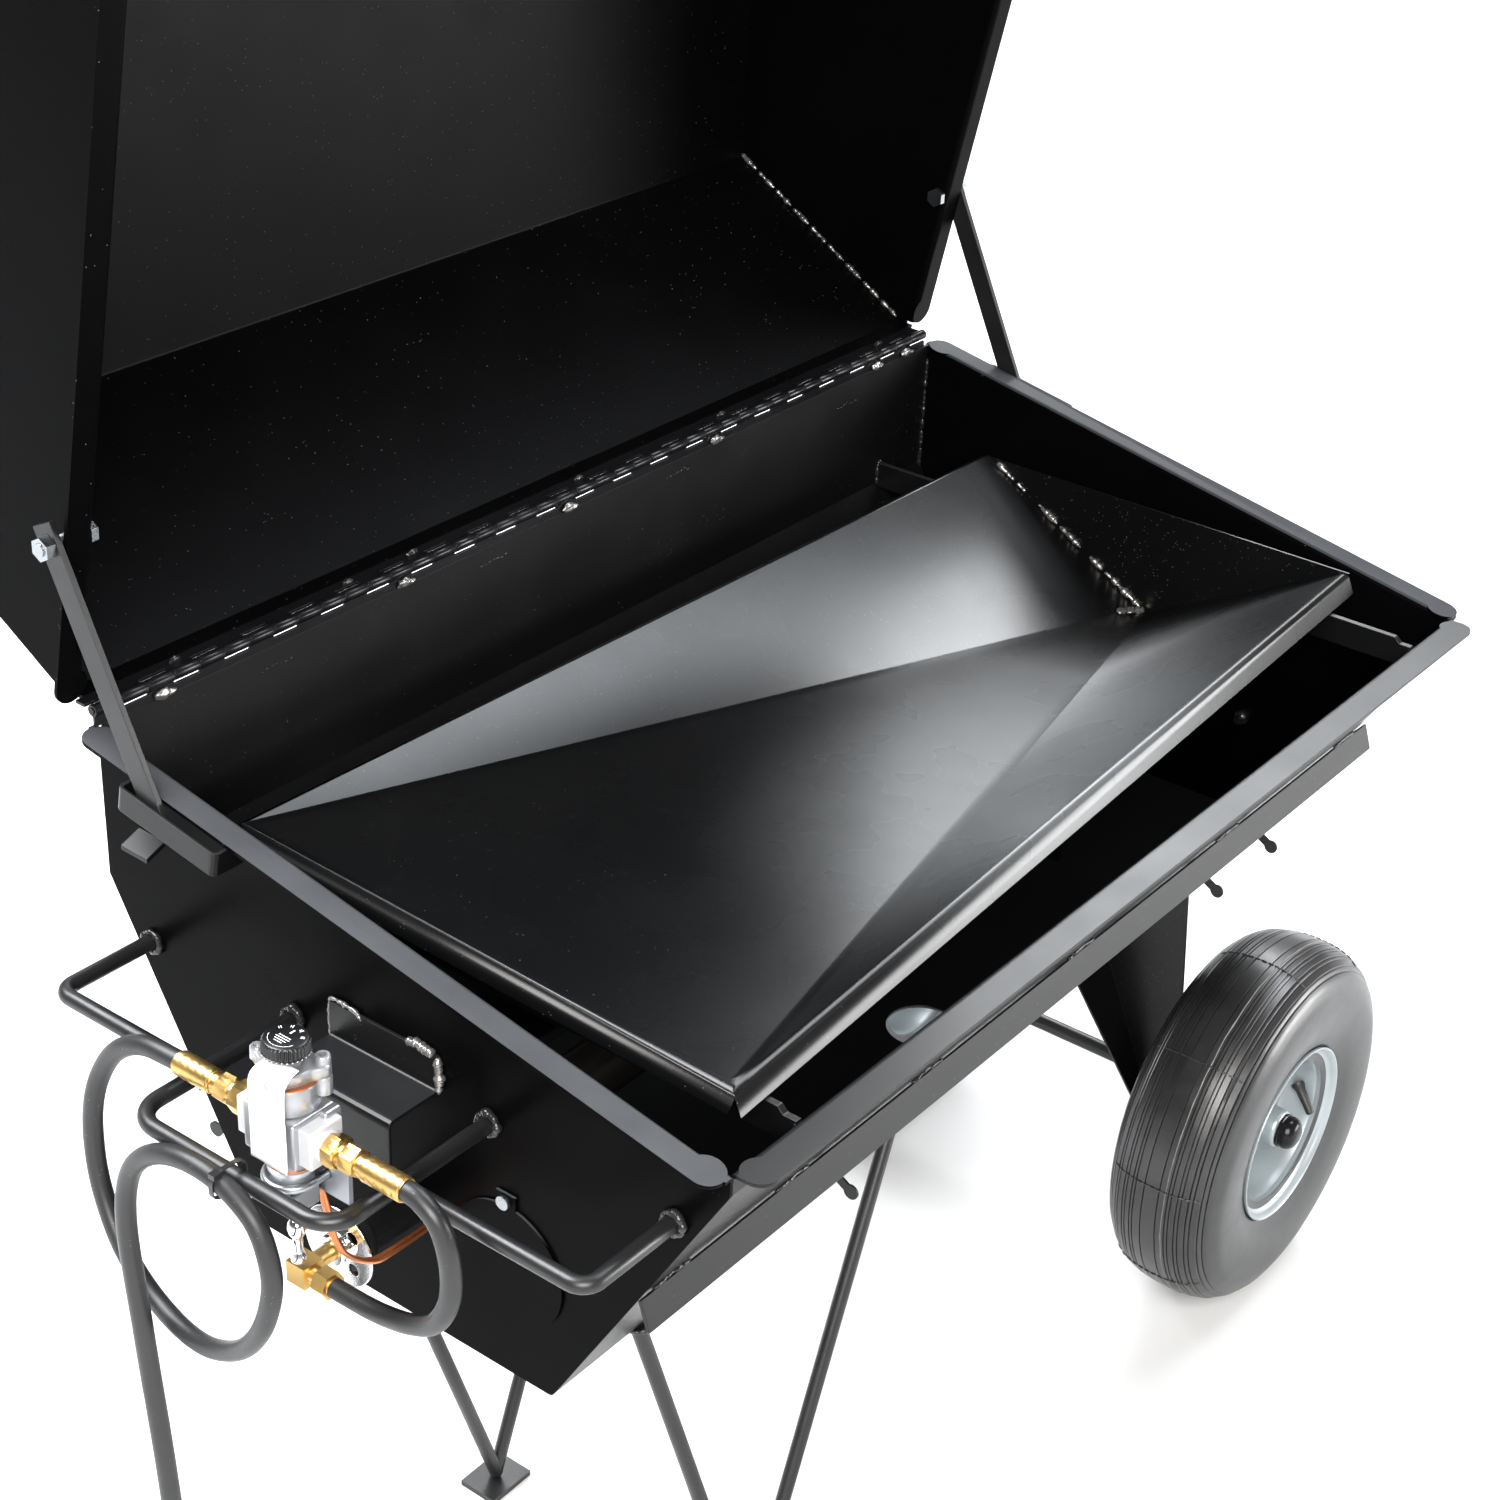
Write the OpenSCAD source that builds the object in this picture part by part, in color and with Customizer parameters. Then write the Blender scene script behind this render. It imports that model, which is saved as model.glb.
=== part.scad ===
// Gas barbecue roaster: a folded sheet steel trough with a hinged lid, a drip
// pan, a bottle gas valve and tube burner, two wheels, a stand and air vents.
// X runs along the trough, Y from front to back, Z up from the ground.
// Most modules draw in the trough frame, whose origin is the front left corner
// of the rim; at_body() puts that frame above the ground.

/* [Trough] */
// Outside length of the trough
body_l = 1073; // [1040:1:1110]
// Outside width of the trough
body_w = 591; // [580:1:600]
// Height of the front rim above the ground
front_rim_h = 737; // [720:1:760]
// Depth of the floor below the front rim
trough_depth = 274; // [265:1:280]
// Sheet thickness of the trough and the lid
sheet = 3; // [2.5:0.5:3]
// Width of the flange along the front rim
front_flange_w = 25; // [20:1:30]
// Width of the flanges along the end rims
end_flange_w = 22; // [18:1:22]

/* [Lid] */
// Angle that the lid stands open from level with the rim
lid_open = 89.1; // [80:0.1:90]
// Length of the slanted lid panels
lid_slant = 244; // [230:1:250]
// Gap between the lid and the rim at the hinge
lid_gap = 30.7; // [30:0.1:32]

/* [Hinge] */
// Length of one hinge knuckle
knuckle_l = 25.4; // [25.4:0.1:25.4]
// Number of knuckles
knuckles = 42; // [40:2:42]
// Outside diameter of the knuckles
knuckle_d = 9.5; // [9:0.1:10]
// Diameter of the hinge pin
pin_d = 5; // [4:0.1:5]

/* [Drip pan] */
// Height of the pan rim above the front rim
pan_rim_z = 25; // [24:1:26]
// Depth of the drain point below the front rim
pan_drain_z = 84; // [70:1:88]
// Thickness of the pan sheet
pan_t = 2; // [2:0.5:2.5]

/* [Wheels] */
// Outside diameter of the tyres
tyre_d = 380; // [370:1:384]
// Width of the tyres
tyre_w = 121; // [112:1:124]
// Diameter of the axle
axle_d = 15.88; // [15:0.01:16]
// Distance of the axle from the left end of the trough
axle_x = 978; // [970:1:985]

/* [Rods] */
// Diameter of the handle, the valve holder and the stand legs
rod_d = 12.7; // [10:0.1:13]

/* [Gas line] */
// Outside diameter of the hoses
hose_d = 15; // [14:0.1:15]
// Diameter of the valve dial
dial_d = 34; // [32:1:36]

/* [Hidden] */

$fn = 48;
steel = "#1c1c1e";
zinc = "#b9bec2";
brass = "#c9a046";
rubber = "#2b2b2d";

// the slope of the rim, from the low front to the high back
rim_slope = 10.43;
rim_rise = body_w * tan(rim_slope);
rim_run = body_w / cos(rim_slope);
front_wall = 18;
slant = 60;
slant_y = (trough_depth - front_wall) / tan(slant);
floor_y0 = slant_y;
floor_y1 = body_w - slant_y;
bend_r = 2.5;
seam = 12;
flange_end_r = 16;

// the hinge axis, just above the back wall, and the folded lid around it
hinge_y = body_w;
hinge_z = rim_rise + 12.6;
lid_shoulder = hinge_z + 35;
lid_top = lid_shoulder + lid_slant * sin(slant);
lid_run = lid_slant * cos(slant);
lid_rim_rear = rim_rise + lid_gap;

// the prop arms
arm_pivot = [591, 261.3];
arm_x = -26;
arm_w = 20;
arm_t = 5;
arm_len = 214;
arm_head = 16.6;
arm_lean = 26;
strap_x = -33;

// moves the origin to under the middle of the whole object, hose left out
origin_shift = [32.2, -109.7, 0];

// rods and the gas valve on the left end
handle_x = -90;
handle_z = -59;
handle_y = [43, 546];
holder_x = -153;
holder_z = -60;
holder_y = [206, 396];
valve_x = -115.4;
valve_y = 280;
flow_z = -32;
flow_half = 107;
neck_r = 15;
u_bolt_z = -72.5;
u_bolt_d = 6;

// the burner
burner_y = 292;
burner_z = -174;
mixer_d = 38;
shutter_x = -68;
port_y = 190;
port_z = -175;

// the vents on the slanted panels: distance down the slant and their places
vent_s = 240;
vent_rear_s = 220;
vent_tabs = [292, 871, 976];
vent_rear_tab = 12;
vent_pitch = 34;
vent_travel = 17;
vent_hole_r = 8;
slide_l = 70;
slide_w = 34;
slide_t = 2;

// wheels and legs
wheel_y = [80, body_w - 80];
axle_z = -front_rim_h + tyre_d / 2;
leg_x = 966;
stand_y = [150, body_w - 150];
stand_foot_x = 262;

// --- placing ---------------------------------------------------------------

module at_body() {
    translate([-body_l / 2, -body_w / 2, front_rim_h] + origin_shift) children();
}

// lid parts are drawn level with the rim and swung open about the hinge
module at_lid() {
    at_body() translate([0, hinge_y, hinge_z]) rotate([-lid_open, 0, 0])
        translate([0, -hinge_y, -hinge_z]) children();
}

// extrude a Y-Z outline from x0 to x1
module along_x(x0, x1) {
    translate([x0, 0, 0]) rotate([90, 0, 90]) linear_extrude(x1 - x0) children();
}

// extrude an X-W outline up the sloped rim from s0 to s1
module along_rim(s0, s1) {
    rotate([rim_slope, 0, 0]) translate([0, s1, 0]) rotate([90, 0, 0])
        linear_extrude(s1 - s0) children();
}

module mirror_x() {
    translate([body_l, 0, 0]) mirror([1, 0, 0]) children();
}

module cyl_x(x0, x1, r) {
    translate([x0, 0, 0]) rotate([0, 90, 0]) cylinder(h = x1 - x0, r = r);
}

module cyl_y(y0, y1, r) {
    translate([0, y0, 0]) rotate([-90, 0, 0]) cylinder(h = y1 - y0, r = r);
}

// a point on the front slanted panel, d along it and off away from it
function on_front(d, off) = [d * cos(slant) - off * sin(slant),
    -front_wall - d * sin(slant) - off * cos(slant)];
function on_rear(d, off) = let (p = on_front(d, off)) [body_w - p[0], p[1]];

// --- folded sheet ------------------------------------------------------------

function unit(v) = v / norm(v);
function left_of(a, b) = let (d = unit(b - a)) [-d[1], d[0]];
function turn(p, i) = cross(p[i] - p[i - 1], p[i + 1] - p[i]);

// the path moved sideways by d, to its left
function moved(p, d) = let (n = len(p)) [for (i = [0 : n - 1])
    let (a = left_of(p[max(i - 1, 0)], p[max(i, 1)]),
         b = left_of(p[min(i, n - 2)], p[min(i + 1, n - 1)]))
    p[i] + d * (a + b) / (1 + a * b)];

// the path with an arc at each corner: rl where it turns left, rr right
function rounded(p, rl, rr, steps = 4) = concat([p[0]],
    [for (i = [1 : len(p) - 2])
        let (u = unit(p[i - 1] - p[i]), v = unit(p[i + 1] - p[i]),
             half = acos(u * v) / 2, r = turn(p, i) > 0 ? rl : rr,
             c = p[i] + unit(u + v) * r / sin(half),
             a = p[i] + u * r / tan(half) - c, b = p[i] + v * r / tan(half) - c)
        for (k = [0 : steps]) c + r * unit(a + (b - a) * k / steps)],
    [p[len(p) - 1]]);

function reversed(p) = [for (i = [len(p) - 1 : -1 : 0]) p[i]];

// sheet of thickness t on the left of the path, or on its right where t < 0
module folded(path, t) {
    out = bend_r + abs(t);
    polygon(concat(
        rounded(path, t > 0 ? out : bend_r, t > 0 ? bend_r : out),
        reversed(rounded(moved(path, t), t > 0 ? bend_r : out,
            t > 0 ? out : bend_r))));
}

// a flange plate l long and w wide, its outer corners rounded
module flange_plate(l, w, r) {
    translate([r, 0]) square([l - 2 * r, w]);
    square([l, w - r]);
    for (x = [r, l - r]) translate([x, w - r]) circle(r);
}

// a flat panel between listed corners, thickened by the vector t
module slab(p, t) {
    n = len(p);
    polyhedron(points = concat(p, [for (q = p) q + t]),
        faces = concat([[for (i = [0 : n - 1]) i], [for (i = [n - 1 : -1 : 0]) n + i]],
            [for (i = [0 : n - 1]) [i, n + i, n + (i + 1) % n, (i + 1) % n]]));
}

// a round tube or cord swept along a list of points
function side_of(d) = unit(cross(d, abs(unit(d)[2]) > 0.9 ? [1, 0, 0] : [0, 0, 1]));
function along(p, i) = unit(p[min(i + 1, len(p) - 1)] - p[max(i - 1, 0)]);
// each ring's first direction is the last one's, turned as little as it can be
function frames(p, i = 0, s = []) = i == len(p) ? s :
    let (d = along(p, i), u = i == 0 ? side_of(d) : s[i - 1])
    frames(p, i + 1, concat(s, [unit(u - d * (u * d))]));

module swept(p, r, sides = 10) {
    n = len(p);
    first = frames(p);
    rings = [for (i = [0 : n - 1]) let (u = first[i], v = cross(along(p, i), u))
        for (k = [0 : sides - 1]) let (a = 360 * k / sides)
            p[i] + r * (cos(a) * u + sin(a) * v)];
    polyhedron(points = rings, faces = concat(
        [[for (k = [0 : sides - 1]) k]],
        [[for (k = [sides - 1 : -1 : 0]) (n - 1) * sides + k]],
        [for (i = [0 : n - 2]) for (k = [0 : sides - 1]) let (j = (k + 1) % sides)
            [i * sides + k, (i + 1) * sides + k, (i + 1) * sides + j, i * sides + j]]));
}

// --- trough ------------------------------------------------------------------

front_path = [[-7, -sheet], [0, -sheet], [0, -front_wall],
    [floor_y0, -trough_depth], [floor_y0 + seam, -trough_depth]];
rear_path = [[floor_y1 - seam, -trough_depth], [floor_y1, -trough_depth],
    [body_w, -front_wall], [body_w, rim_rise]];
end_outline = [[0, -8.2], [0, -front_wall], [floor_y0, -trough_depth],
    [floor_y1, -trough_depth], [body_w, -front_wall], [body_w, rim_rise - 8.2]];

// a pair of round air holes about x, square to the slanted panel
module vent_holes(x, rear = false, s = vent_s) {
    p = rear ? on_rear(s, 0) : on_front(s, 0);
    for (k = [-0.5, 0.5]) translate([x + k * vent_pitch, p[0], p[1]])
        rotate([rear ? -90 - 30 : 90 + 30, 0, 0])
            translate([0, 0, -10]) cylinder(h = 20, r = vent_hole_r);
}

module front_panel() {
    color(steel) at_body() {
        difference() {
            along_x(sheet, body_l - sheet) folded(front_path, sheet);
            for (x = vent_tabs) vent_holes(x - slide_l / 2 - vent_travel);
        }
        translate([sheet, -7, -sheet]) mirror([0, 1, 0]) linear_extrude(sheet)
            flange_plate(body_l - 2 * sheet, front_flange_w - 7, flange_end_r - 2);
    }
}

module floor_panel() {
    color(steel) at_body() difference() {
        translate([sheet, floor_y0 + seam, -trough_depth])
            cube([body_l - 2 * sheet, floor_y1 - floor_y0 - 2 * seam, sheet]);
        translate([550, 205, -trough_depth - 1]) cylinder(h = sheet + 2, r = 31);
    }
}

module rear_panel() {
    color(steel) at_body() difference() {
        along_x(sheet, body_l - sheet) folded(rear_path, sheet);
        vent_holes(vent_rear_tab + slide_l / 2 + vent_travel, true, vent_rear_s);
    }
}

// one end plate with its rim flange turned outwards
module end_plate() {
    along_x(0, sheet) polygon(rounded(end_outline, bend_r + sheet, bend_r));
    along_rim(-1.5, rim_run + 1.5) folded([[-7, -sheet], [0, -sheet], [0, -8.5]], sheet);
    rotate([rim_slope, 0, 0]) translate([-7, 0, -sheet]) rotate([0, 0, 90])
        linear_extrude(sheet) flange_plate(rim_run, end_flange_w - 7, 14);
}

module end_plate_left() {
    color(steel) at_body() difference() {
        end_plate();
        translate([0, burner_y, burner_z]) cyl_x(-1, sheet + 1, mixer_d / 2);
        translate([0, port_y, port_z]) cyl_x(-1, sheet + 1, 42);
    }
}

module end_plate_right() {
    color(steel) at_body() difference() {
        mirror_x() end_plate();
        translate([body_l, 296, -69]) cyl_x(-sheet - 1, 1, 17);
        translate([body_l, 188.5, -170]) cyl_x(-sheet - 1, 1, 4.1);
    }
}

// strip welded under the front rim, in front of the vents
module drip_rail() {
    color(steel) at_body() along_x(-5, body_l + 5)
        polygon([[68.2, -137.4], [59.8, -161.5], [57, -160.5], [65.4, -136.4]]);
}

module pan_supports() {
    color(steel) at_body() {
        along_x(74, 80) polygon([[sheet, -1], [14, -1], [19, 4], [body_w - sheet, 4],
            [body_w - sheet, -17], [body_w - 6, -21], [6, -21], [sheet, -17]]);
        along_x(993, 999) polygon([[sheet, -1], [14, -1], [19, 4], [118, 4], [118, -21],
            [6, -21], [sheet, -17]]);
        along_x(993, 999) polygon([[body_w - sheet, 4], [body_w - sheet, -17],
            [body_w - 6, -21], [478, -21], [478, 4]]);
    }
}

// --- lid props and their guides ----------------------------------------------

module strap_guide() {
    rotate([rim_slope, 0, 0]) translate([0, 0, -24]) linear_extrude(20)
        folded([[0, 440], [strap_x, 440], [strap_x, 542], [0, 542]], -sheet);
}

module strap_guides() {
    color(steel) at_body() { strap_guide(); mirror_x() strap_guide(); }
}

module arm_stop() {
    slab([[0, 553, 37], [0, 525, 36], [-18, 525, 29], [-18, 553, 30]], [0, 0, -4]);
}

module arm_stops() {
    color(steel) at_body() { arm_stop(); mirror_x() arm_stop(); }
}

// flat bar on the lid end that slides in the strap as the lid moves
module prop_arm() {
    translate([arm_x, arm_pivot[0], arm_pivot[1]]) rotate([-arm_lean, 0, 0])
        difference() {
            translate([-arm_t / 2, -arm_w / 2, -arm_len])
                cube([arm_t, arm_w, arm_len + arm_head]);
            cyl_x(-arm_t, arm_t, 5.05);
        }
}

module prop_arm_left() { color(steel) at_body() prop_arm(); }
module prop_arm_right() { color(steel) at_body() mirror_x() prop_arm(); }

// shouldered pivot bolt with a lock nut, through the lid end
module arm_bolt() {
    translate([0, arm_pivot[0], arm_pivot[1]]) {
        cyl_x(arm_x - 12, sheet + 6, 5);
        cyl_x(arm_x + arm_t / 2 + 0.3, sheet, 5.6);
        translate([arm_x - arm_t / 2 - 8.3, 0, 0]) rotate([0, 90, 0])
            cylinder(h = 8, r = 9.2, $fn = 6);
        translate([sheet, 0, 0]) rotate([0, 90, 0]) cylinder(h = 6, r = 9.2, $fn = 6);
    }
}

module arm_bolts() { color(zinc) at_body() { arm_bolt(); mirror_x() arm_bolt(); } }

// --- lid ---------------------------------------------------------------------

lid_front_z = lid_gap + 0.2;
lid_path = [[-7, lid_front_z + sheet], [0, lid_front_z + sheet], [0, lid_shoulder],
    [lid_run, lid_top], [body_w - lid_run, lid_top], [body_w, lid_shoulder],
    [body_w, lid_rim_rear]];
lid_outline = [[0, lid_gap + 8.2], [0, lid_shoulder], [lid_run, lid_top],
    [body_w - lid_run, lid_top], [body_w, lid_shoulder], [body_w, lid_rim_rear + 8.2]];

module lid_sheet() {
    color(steel) at_lid() {
        along_x(sheet, body_l - sheet) folded(lid_path, -sheet);
        translate([sheet, -7, lid_front_z]) mirror([0, 1, 0]) linear_extrude(sheet)
            flange_plate(body_l - 2 * sheet, front_flange_w - 7, flange_end_r - 2);
    }
}

module lid_end() {
    difference() {
        union() {
            along_x(0, sheet) polygon(rounded(lid_outline, bend_r + sheet, bend_r + sheet));
            translate([0, 0, lid_gap]) {
                along_rim(-1.5, rim_run - 4) folded([[-7, sheet], [0, sheet], [0, 8.5]], -sheet);
                rotate([rim_slope, 0, 0]) translate([-7, 0, 0]) rotate([0, 0, 90])
                    linear_extrude(sheet) flange_plate(rim_run - 2.5, end_flange_w - 7, 14);
            }
        }
        lid_pivot_hole();
    }
}

// the pivot bolt hole, turned back from the open lid to the level one
module lid_pivot_hole() {
    translate([0, hinge_y, hinge_z]) rotate([lid_open, 0, 0])
        translate([0, arm_pivot[0] - hinge_y, arm_pivot[1] - hinge_z]) cyl_x(-3, sheet + 1, 5.65);
}

module lid_end_left() { color(steel) at_lid() lid_end(); }
module lid_end_right() { color(steel) at_lid() mirror_x() lid_end(); }

// a bent rod standing on two feet: out by depth, across from a to b
module bent_rod(depth, a, b, r) {
    translate([0, a, 0]) cyl_x(-depth + r, 0, rod_d / 2);
    translate([0, b, 0]) cyl_x(-depth + r, 0, rod_d / 2);
    translate([-depth, 0, 0]) cyl_y(a + r, b - r, rod_d / 2);
    translate([-depth + r, a + r, 0]) rotate([0, 0, 180])
        rotate_extrude(angle = 90) translate([r, 0]) circle(d = rod_d);
    translate([-depth + r, b - r, 0]) rotate([0, 0, 90])
        rotate_extrude(angle = 90) translate([r, 0]) circle(d = rod_d);
}

module lid_handle() {
    color(steel) at_lid() translate([body_l / 2, lid_run / 2, (lid_shoulder + lid_top) / 2])
        rotate([-(90 - slant), 0, 0]) rotate([0, 0, 90]) bent_rod(60, -170, 170, 14);
}

// --- hinge -------------------------------------------------------------------

// the knuckles of one leaf: every second one, from the given first
module leaf_knuckles(first) {
    for (i = [first : 2 : knuckles - 1])
        translate([-3.9 + i * knuckle_l + 0.2, hinge_y, hinge_z])
            cyl_x(0, knuckle_l - 0.4, knuckle_d / 2);
}

// a leaf's notched edge: it meets its own knuckles only
module leaf_tabs(first, z0, z1) {
    for (i = [first : 2 : knuckles - 1])
        translate([-3.9 + i * knuckle_l + 0.2, body_w - 2.5, z0])
            cube([knuckle_l - 0.4, 2.5, z1 - z0]);
}

module pin_bore() {
    translate([-10, hinge_y, hinge_z]) cyl_x(0, body_l + 20, pin_d / 2 + 0.05);
}

module hinge_body_leaf() {
    color("#2a2a2c") at_body() difference() {
        union() {
            leaf_knuckles(0);
            leaf_tabs(0, rim_rise + 3, hinge_z);
            translate([-3.7, body_w - 2.5, rim_rise]) cube([knuckles * knuckle_l - 0.4, 2.5, 6.2]);
        }
        pin_bore();
    }
}

module hinge_lid_leaf() {
    color("#2a2a2c") at_lid() difference() {
        union() {
            leaf_knuckles(1);
            leaf_tabs(1, hinge_z, lid_rim_rear - 3);
            translate([-3.7, body_w - 2.5, hinge_z + 8])
                cube([knuckles * knuckle_l - 0.4, 2.5, lid_rim_rear - hinge_z - 8]);
        }
        pin_bore();
    }
}

module hinge_pin() {
    color(zinc) at_body() translate([-4.5, hinge_y, hinge_z])
        cyl_x(0, knuckles * knuckle_l + 1.2, pin_d / 2);
}

// --- drip pan ----------------------------------------------------------------

pan_fl = [48, 36.5, pan_rim_z];
pan_fr = [1046, 96, pan_rim_z];
pan_rr = [1046, 490, pan_rim_z];
pan_rl = [68, 513, pan_rim_z];
pan_d = [1046, 298, -pan_drain_z];
roll_r = 14;
roll_steps = 4;
// the rear edge rolls out and down: a quarter round, then a short drop
function roll(p, k) = let (a = 90 * k / roll_steps)
    p + [0, roll_r * sin(a), roll_r * (cos(a) - 1)];

// every face as triangles, so that a twisted one stays exact
function fans(faces) = [for (f = faces) for (i = [1 : len(f) - 2]) [f[0], f[i], f[i + 1]]];

module drip_pan() {
    // upper skin, then where each point lies on the lower skin
    top = concat([pan_fl, pan_fr, pan_rr, pan_rl, pan_d,
        pan_fl + [-2, -3, -21], pan_fr + [0, -3, -21],
        pan_fl + [-3, 2, -20.5], pan_rl + [-3, -2, -24]],
        [for (k = [1 : roll_steps]) roll(pan_rr, k)], [roll(pan_rr, roll_steps) - [0, 0, 7]],
        [for (k = [1 : roll_steps]) roll(pan_rl, k)], [roll(pan_rl, roll_steps) - [0, 0, 7]]);
    n = len(top);
    down = [0, 0, -pan_t];
    shift = concat([[pan_t, pan_t, -pan_t], [0, pan_t, -pan_t], down, [pan_t, 0, -pan_t],
        down, [pan_t, pan_t, 0], [0, pan_t, 0], [pan_t, pan_t, 0], [pan_t, 0, 0]],
        [for (e = [0, 1]) for (k = [1 : roll_steps + 1])
            let (a = 90 * min(k, roll_steps) / roll_steps)
            pan_t * [0, -sin(a), -cos(a)]]);
    r0 = 9;
    l0 = r0 + roll_steps + 1;
    loop = concat([7, 0, 5, 6, 1, 4, 2], [for (k = [0 : roll_steps]) r0 + k],
        [for (k = [roll_steps : -1 : 0]) l0 + k], [3, 8]);
    skin = concat([[0, 4, 1], [0, 3, 4], [3, 2, 4], [5, 0, 1, 6], [7, 8, 3, 0],
        [3, l0, r0, 2]],
        [for (k = [0 : roll_steps - 1]) [l0 + k, l0 + k + 1, r0 + k + 1, r0 + k]]);
    color("#3a3b3e") at_body() {
        polyhedron(points = concat(top, [for (i = [0 : n - 1]) top[i] + shift[i]]),
            faces = fans(concat(skin, [for (f = skin) [for (i = reversed(f)) i + n]],
                [for (i = [0 : len(loop) - 1])
                    let (a = loop[i], b = loop[(i + 1) % len(loop)]) [a, b, b + n, a + n]])));
        // plate that closes the low end
        along_x(pan_fr[0] - 1.5, pan_fr[0] + pan_t) polygon([[pan_fr[1] - 3, pan_rim_z - 0.5],
            [pan_rr[1] + 3, pan_rim_z - 0.5], [pan_d[1], -pan_drain_z - 4]]);
    }
}

module drain_pipe() {
    color(steel) at_body() translate([body_l, 296, -69]) difference() {
        union() {
            cyl_x(-15, 48, 16.7);
            cyl_x(1, 6, 22);
        }
        cyl_x(-16, 49, 13.3);
    }
}

// --- rods, brackets and the left end -----------------------------------------

// half of the carry handle: a foot, a bend, and a bar that ends on the holder
module half_handle(foot, side) {
    translate([0, foot, 0]) mirror([0, side, 0]) {
        cyl_x(handle_x + 13, 0, rod_d / 2);
        translate([handle_x, 0, 0])
            cyl_y(13, abs(holder_y[side] - foot) - rod_d / 2 + 0.7, rod_d / 2);
        translate([handle_x + 13, 13, 0]) rotate([0, 0, 180])
            rotate_extrude(angle = 90) translate([13, 0]) circle(d = rod_d);
    }
}

module carry_handle() {
    color(steel) at_body() translate([0, 0, handle_z]) {
        half_handle(handle_y[0], 0);
        half_handle(handle_y[1], 1);
    }
}

module valve_holder() {
    color(steel) at_body() translate([0, 0, holder_z])
        bent_rod(-holder_x, holder_y[0], holder_y[1], 24);
}

// Z-shaped shield over the burner inlet
module shield_bracket() {
    color(steel) at_body() translate([0, 357, 0]) rotate([90, 0, 0]) linear_extrude(105)
        folded([[0, -26], [0, -57], [-49, -57], [-49, -118]], -sheet);
}

// --- vents -------------------------------------------------------------------

// slide plate with its holes and a club-shaped tab that stands off it; the
// tab is at x = 0, and the plate runs to -X
module vent_slide() {
    rotate([30, 0, 0]) mirror([0, 1, 0]) {
        difference() {
            translate([-slide_l, 0.3, -slide_w / 2]) cube([slide_l, slide_t, slide_w]);
            for (k = [-0.5, 0.5]) translate([-slide_l / 2 + k * vent_pitch, 0, 0])
                cyl_y(-1, 5, vent_hole_r);
        }
        translate([-slide_t, 0.3, -4]) cube([slide_t, 26, 8]);
        translate([-slide_t, 27, 0]) rotate([0, 90, 0]) cylinder(h = slide_t, r = 6.5);
    }
}

module front_slide(x) {
    p = on_front(vent_s, 0);
    translate([x, p[0], p[1]]) vent_slide();
}

module vent_slide_1() { color(steel) at_body() front_slide(vent_tabs[0]); }
module vent_slide_2() { color(steel) at_body() front_slide(vent_tabs[1]); }
module vent_slide_3() { color(steel) at_body() front_slide(vent_tabs[2]); }

module vent_slide_rear() {
    p = on_rear(vent_rear_s, 0);
    color(steel) at_body() translate([vent_rear_tab, p[0], p[1]]) rotate([0, 0, 180]) vent_slide();
}

// lipped rails above and below one slide
module slide_rails() {
    len = slide_l + 2 * vent_travel;
    rotate([30, 0, 0]) mirror([0, 1, 0]) for (side = [0, 1]) mirror([0, 0, side])
        translate([-len, 0, slide_w / 2 + 0.4]) {
            cube([len - 3, 2.6, 5]);
            translate([0, 2.6, -3]) cube([len - 3, 2, 8]);
        }
}

module vent_guides() {
    color(steel) at_body() {
        for (x = vent_tabs) {
            p = on_front(vent_s, 0);
            translate([x, p[0], p[1]]) slide_rails();
        }
        p = on_rear(vent_rear_s, 0);
        translate([vent_rear_tab, p[0], p[1]]) rotate([0, 0, 180]) slide_rails();
    }
}

// swinging round cover of the lighting port, hung on one screw
module port_cover() {
    color(steel) at_body() translate([0, port_y, port_z]) difference() {
        union() {
            cyl_x(-2.4, -0.4, 52);
            translate([-2.4, -9, 45]) cube([2, 18, 18]);
        }
        translate([0, 0, 57]) cyl_x(-3, 1, 3.05);
    }
}

module port_screw() {
    color(zinc) at_body() translate([0, port_y, port_z + 57]) {
        cyl_x(-3, 0, 3);
        cyl_x(-6.5, -2.8, 5.5);
    }
}

// zinc bolt and nut in the right end
module tie_bolt() {
    color(zinc) at_body() translate([body_l, 188.5, -170]) {
        cyl_x(-16, 8, 4);
        translate([-sheet - 6, 0, 0]) rotate([0, 90, 0]) cylinder(h = 6, r = 7.5, $fn = 6);
        translate([0, 0, 0]) rotate([0, 90, 0]) cylinder(h = 5.5, r = 7.5, $fn = 6);
    }
}

// --- burner ------------------------------------------------------------------

module at_burner() { at_body() translate([0, burner_y, burner_z]) children(); }

module burner_tube() {
    color("#4a4643") at_burner() difference() {
        cyl_x(6, 920, 24);
        cyl_x(14, 917, 22);
        cyl_x(-1, 15, mixer_d / 2);
        for (x = [90 : 45 : 880]) translate([x, 0, 0]) for (a = [-35, 35])
            rotate([a, 0, 0]) cylinder(h = 30, r = 2.5);
    }
}

// hangers that carry the burner tube on the floor
module burner_supports() {
    color(steel) at_burner() for (x = [40, 860]) difference() {
        translate([x, -32, -trough_depth + sheet - burner_z]) cube([5, 64, 90]);
        cyl_x(x - 1, x + 6, 24);
    }
}

// mixing tube that carries gas and air through the end plate
module mixer_tube() {
    color(steel) at_burner() difference() {
        union() {
            cyl_x(shutter_x + 8, 20, mixer_d / 2);
            cyl_x(shutter_x + 8, shutter_x + 20, mixer_d / 2 + 4);
        }
        cyl_x(shutter_x, 21, mixer_d / 2 - 3);
    }
}

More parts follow.
